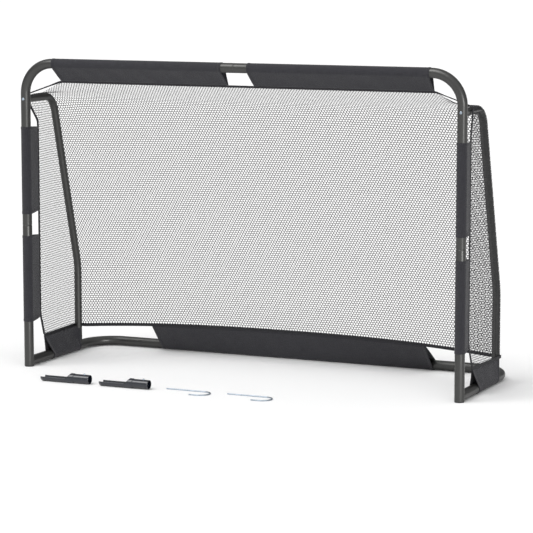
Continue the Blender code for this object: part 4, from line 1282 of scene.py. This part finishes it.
def spike(name, neck_x, body):
    """The radius eases from the body's to the neck's over the shoulder. The arch is a circle
    seen from above, so the wall starts at the root of its radius squared less the wall's own
    distance from the middle squared."""
    end = neck_x - SPIKE_LENGTH
    arch = neck_x - CHANNEL_START - TUBE_R
    side_y = TUBE_R * np.cos(TURNS)
    rise = np.sqrt((ARCH * TUBE_R) ** 2 - side_y**2)
    first = arch + np.where(np.sin(TURNS) > 1e-9, rise, rise[0])
    share = np.concatenate([np.linspace(0, 0.55, 24), np.linspace(0.55, 1, 30)[1:]])[:, None]
    x = first + (neck_x - first) * share
    blade = np.linspace(end, first[0], 14)[:, None] + 0 * TURNS[ROUND // 2 :]
    blade = np.concatenate([blade, blade[:, :1]], 1)

    def wall(x, turn):
        shoulder = neck_x - NECK_LENGTH
        radius = TUBE_R + (NECK_R - TUBE_R) * eased((x - shoulder + SHOULDER) / SHOULDER)
        off = np.abs((turn - math.pi / 2 + math.pi) % (2 * math.pi) - math.pi) * TUBE_R
        past = x - arch - ARCH * TUBE_R - ARCH_TO_DIMPLE
        radius = radius - DIMPLE_DEEP * np.exp(-(off**2 + past**2) / DIMPLE_R**2)
        y = -KIT_AHEAD + radius * np.cos(turn)
        return at(x, y, TUBE_R + radius * np.sin(turn))

    low_turns = np.append(TURNS[ROUND // 2 :], 2 * math.pi)[None] + 0 * blade
    parts = [
        grid(wall(x, TURNS[None] + 0 * x), round_columns=True),
        grid(wall(blade, low_turns)),
    ]
    mesh = welded(mesh_from(name, parts))
    thing = piece(name, mesh, "spike_paint", body=body, stands_for=[f"ground_{body}"])
    shell = thing.modifiers.new("wall", "SOLIDIFY")
    shell.thickness, shell.offset, shell.use_even_offset = TUBE_WALL, -1, True
    hole = at(neck_x - SPIKE_BUTTON, -KIT_AHEAD, TUBE_R)
    return drilled(thing, [(hole, UP)])


for side, neck_x in zip(SIDES, KIT_NECKS_X):
    spike(f"spike_tube_{side}", neck_x, f"spike_{side}")

# %% [markdown]
# ## Hook pegs
#
# A peg is one length of zinc-plated wire, bent to half a circle at the top, with its ends rounded
# off by the cutter. It is a circle carried along its line, and its last rings shrink as a ball's
# do.


# %% Hook pegs
def rod(line, across, radius):
    """A solid bar with round ends: the end rings' radius is the root of one less the square of
    their share of the way out."""
    ahead = tangents(line)
    out = np.sin(np.linspace(0, math.pi / 2, 5))[1:] * radius * 0.7
    size = radius * np.cos(np.linspace(0, math.pi / 2, 5))[1:]
    line = np.concatenate(
        [
            line[0] - ahead[0] * (out[::-1, None] - out[-1]),
            line[:1] + ahead[0] * out[-1],
            line[1:-1],
            line[-1:] - ahead[-1] * out[-1],
            line[-1] + ahead[-1] * (out[:, None] - out[-1]),
        ]
    )
    radii = np.concatenate([size[::-1], np.full(len(line) - 8, radius), size])
    return grid(carried(line, across, circle(radii)[:, ::3]), round_columns=True)


for side, crown_x in zip(SIDES, PEG_CROWNS_X):
    y, z = -KIT_AHEAD, PEG_R
    spring = crown_x - PEG_BEND_R - PEG_R
    turn = np.linspace(math.pi / 2, -math.pi / 2, 49)
    bend = at(spring + PEG_BEND_R * np.cos(turn), y + PEG_BEND_R * np.sin(turn), z)
    long_leg = at(np.linspace(crown_x - PEG_LENGTH, spring, 12)[:-1], y + PEG_BEND_R, z)
    line = np.concatenate([long_leg, bend, at([spring - PEG_SHORT_LEG], y - PEG_BEND_R, z)])
    mesh = welded(mesh_from("peg", [rod(line, UP, PEG_R)]), outwards=True)
    body = f"peg_{side}"
    piece(f"wire_peg_{side}", mesh, "zinc_steel", body=body, stands_for=[f"hook_{body}"])

# %% [markdown]
# ## Floor and light
#
# The goal stands on a plain pale floor that runs out of sight. A broad sun overhead gives the
# soft shadow. A low one at the front right gives each tube a light band down its length, and the
# sky is brighter in front of the goal than behind it, so that the tubes' edges are darker.

# %% Floor
FLOOR_HALF = 300.0
floor_points = at(*(FLOOR_HALF * np.array([[-1, 1, 1, -1], [-1, -1, 1, 1], [0, 0, 0, 0]])))
floor_face = np.array([[0, 1, 2, 3]])
floor_mesh = mesh_from("floor", [(floor_points, floor_face, np.zeros((1, 4, 2)))])
floor = bpy.data.objects.new("floor", floor_mesh)
bpy.context.scene.collection.objects.link(floor)
floor_paint, tree, shader, places = new_finish("matt_white_floor", Roughness=0.9)
shader.inputs["Base Color"].default_value = colour("#fafafa")
shader.inputs["Specular IOR Level"].default_value = 0.1
floor_mesh.materials.append(floor_paint)

# %% Light
# each lamp's strength, width in degrees, and the direction that it stands in
LAMPS = {
    "overhead_lamp": (1.62, 40, (-0.35, -0.55, 1.0)),
    "front_lamp": (1.2, 18, (0.76, -0.65, 0.06)),
}
for lamp, (energy, spread, towards) in LAMPS.items():
    light = bpy.data.objects.new(lamp, bpy.data.lights.new(lamp, "SUN"))
    light.data.energy = energy
    light.data.angle = math.radians(spread)
    light.rotation_euler = Vector(towards).to_track_quat("Z", "Y").to_euler()
    bpy.context.scene.collection.objects.link(light)

world = bpy.data.worlds.new("studio")
bpy.context.scene.world = world
world.use_nodes = True
tree = world.node_tree
tree.nodes.clear()
BRIGHTEST, DIM, BRIGHT = (0.20, -0.60, 0.77), 0.16, 0.94
sky = node(tree, "ShaderNodeTexCoord").outputs["Generated"]
frontal = node(tree, "ShaderNodeVectorMath", {0: sky, 1: BRIGHTEST}, operation="DOT_PRODUCT")
inputs = {"Value": frontal.outputs["Value"], "From Min": -0.5, "To Min": DIM, "To Max": BRIGHT}
bright = node(tree, "ShaderNodeMapRange", inputs).outputs[0]
inputs = {"Color": colour("#ffffff"), "Strength": bright}
dome = node(tree, "ShaderNodeBackground", inputs)
node(tree, "ShaderNodeOutputWorld", {"Surface": dome.outputs[0]})

# %% Update the scene
bpy.context.view_layer.update()
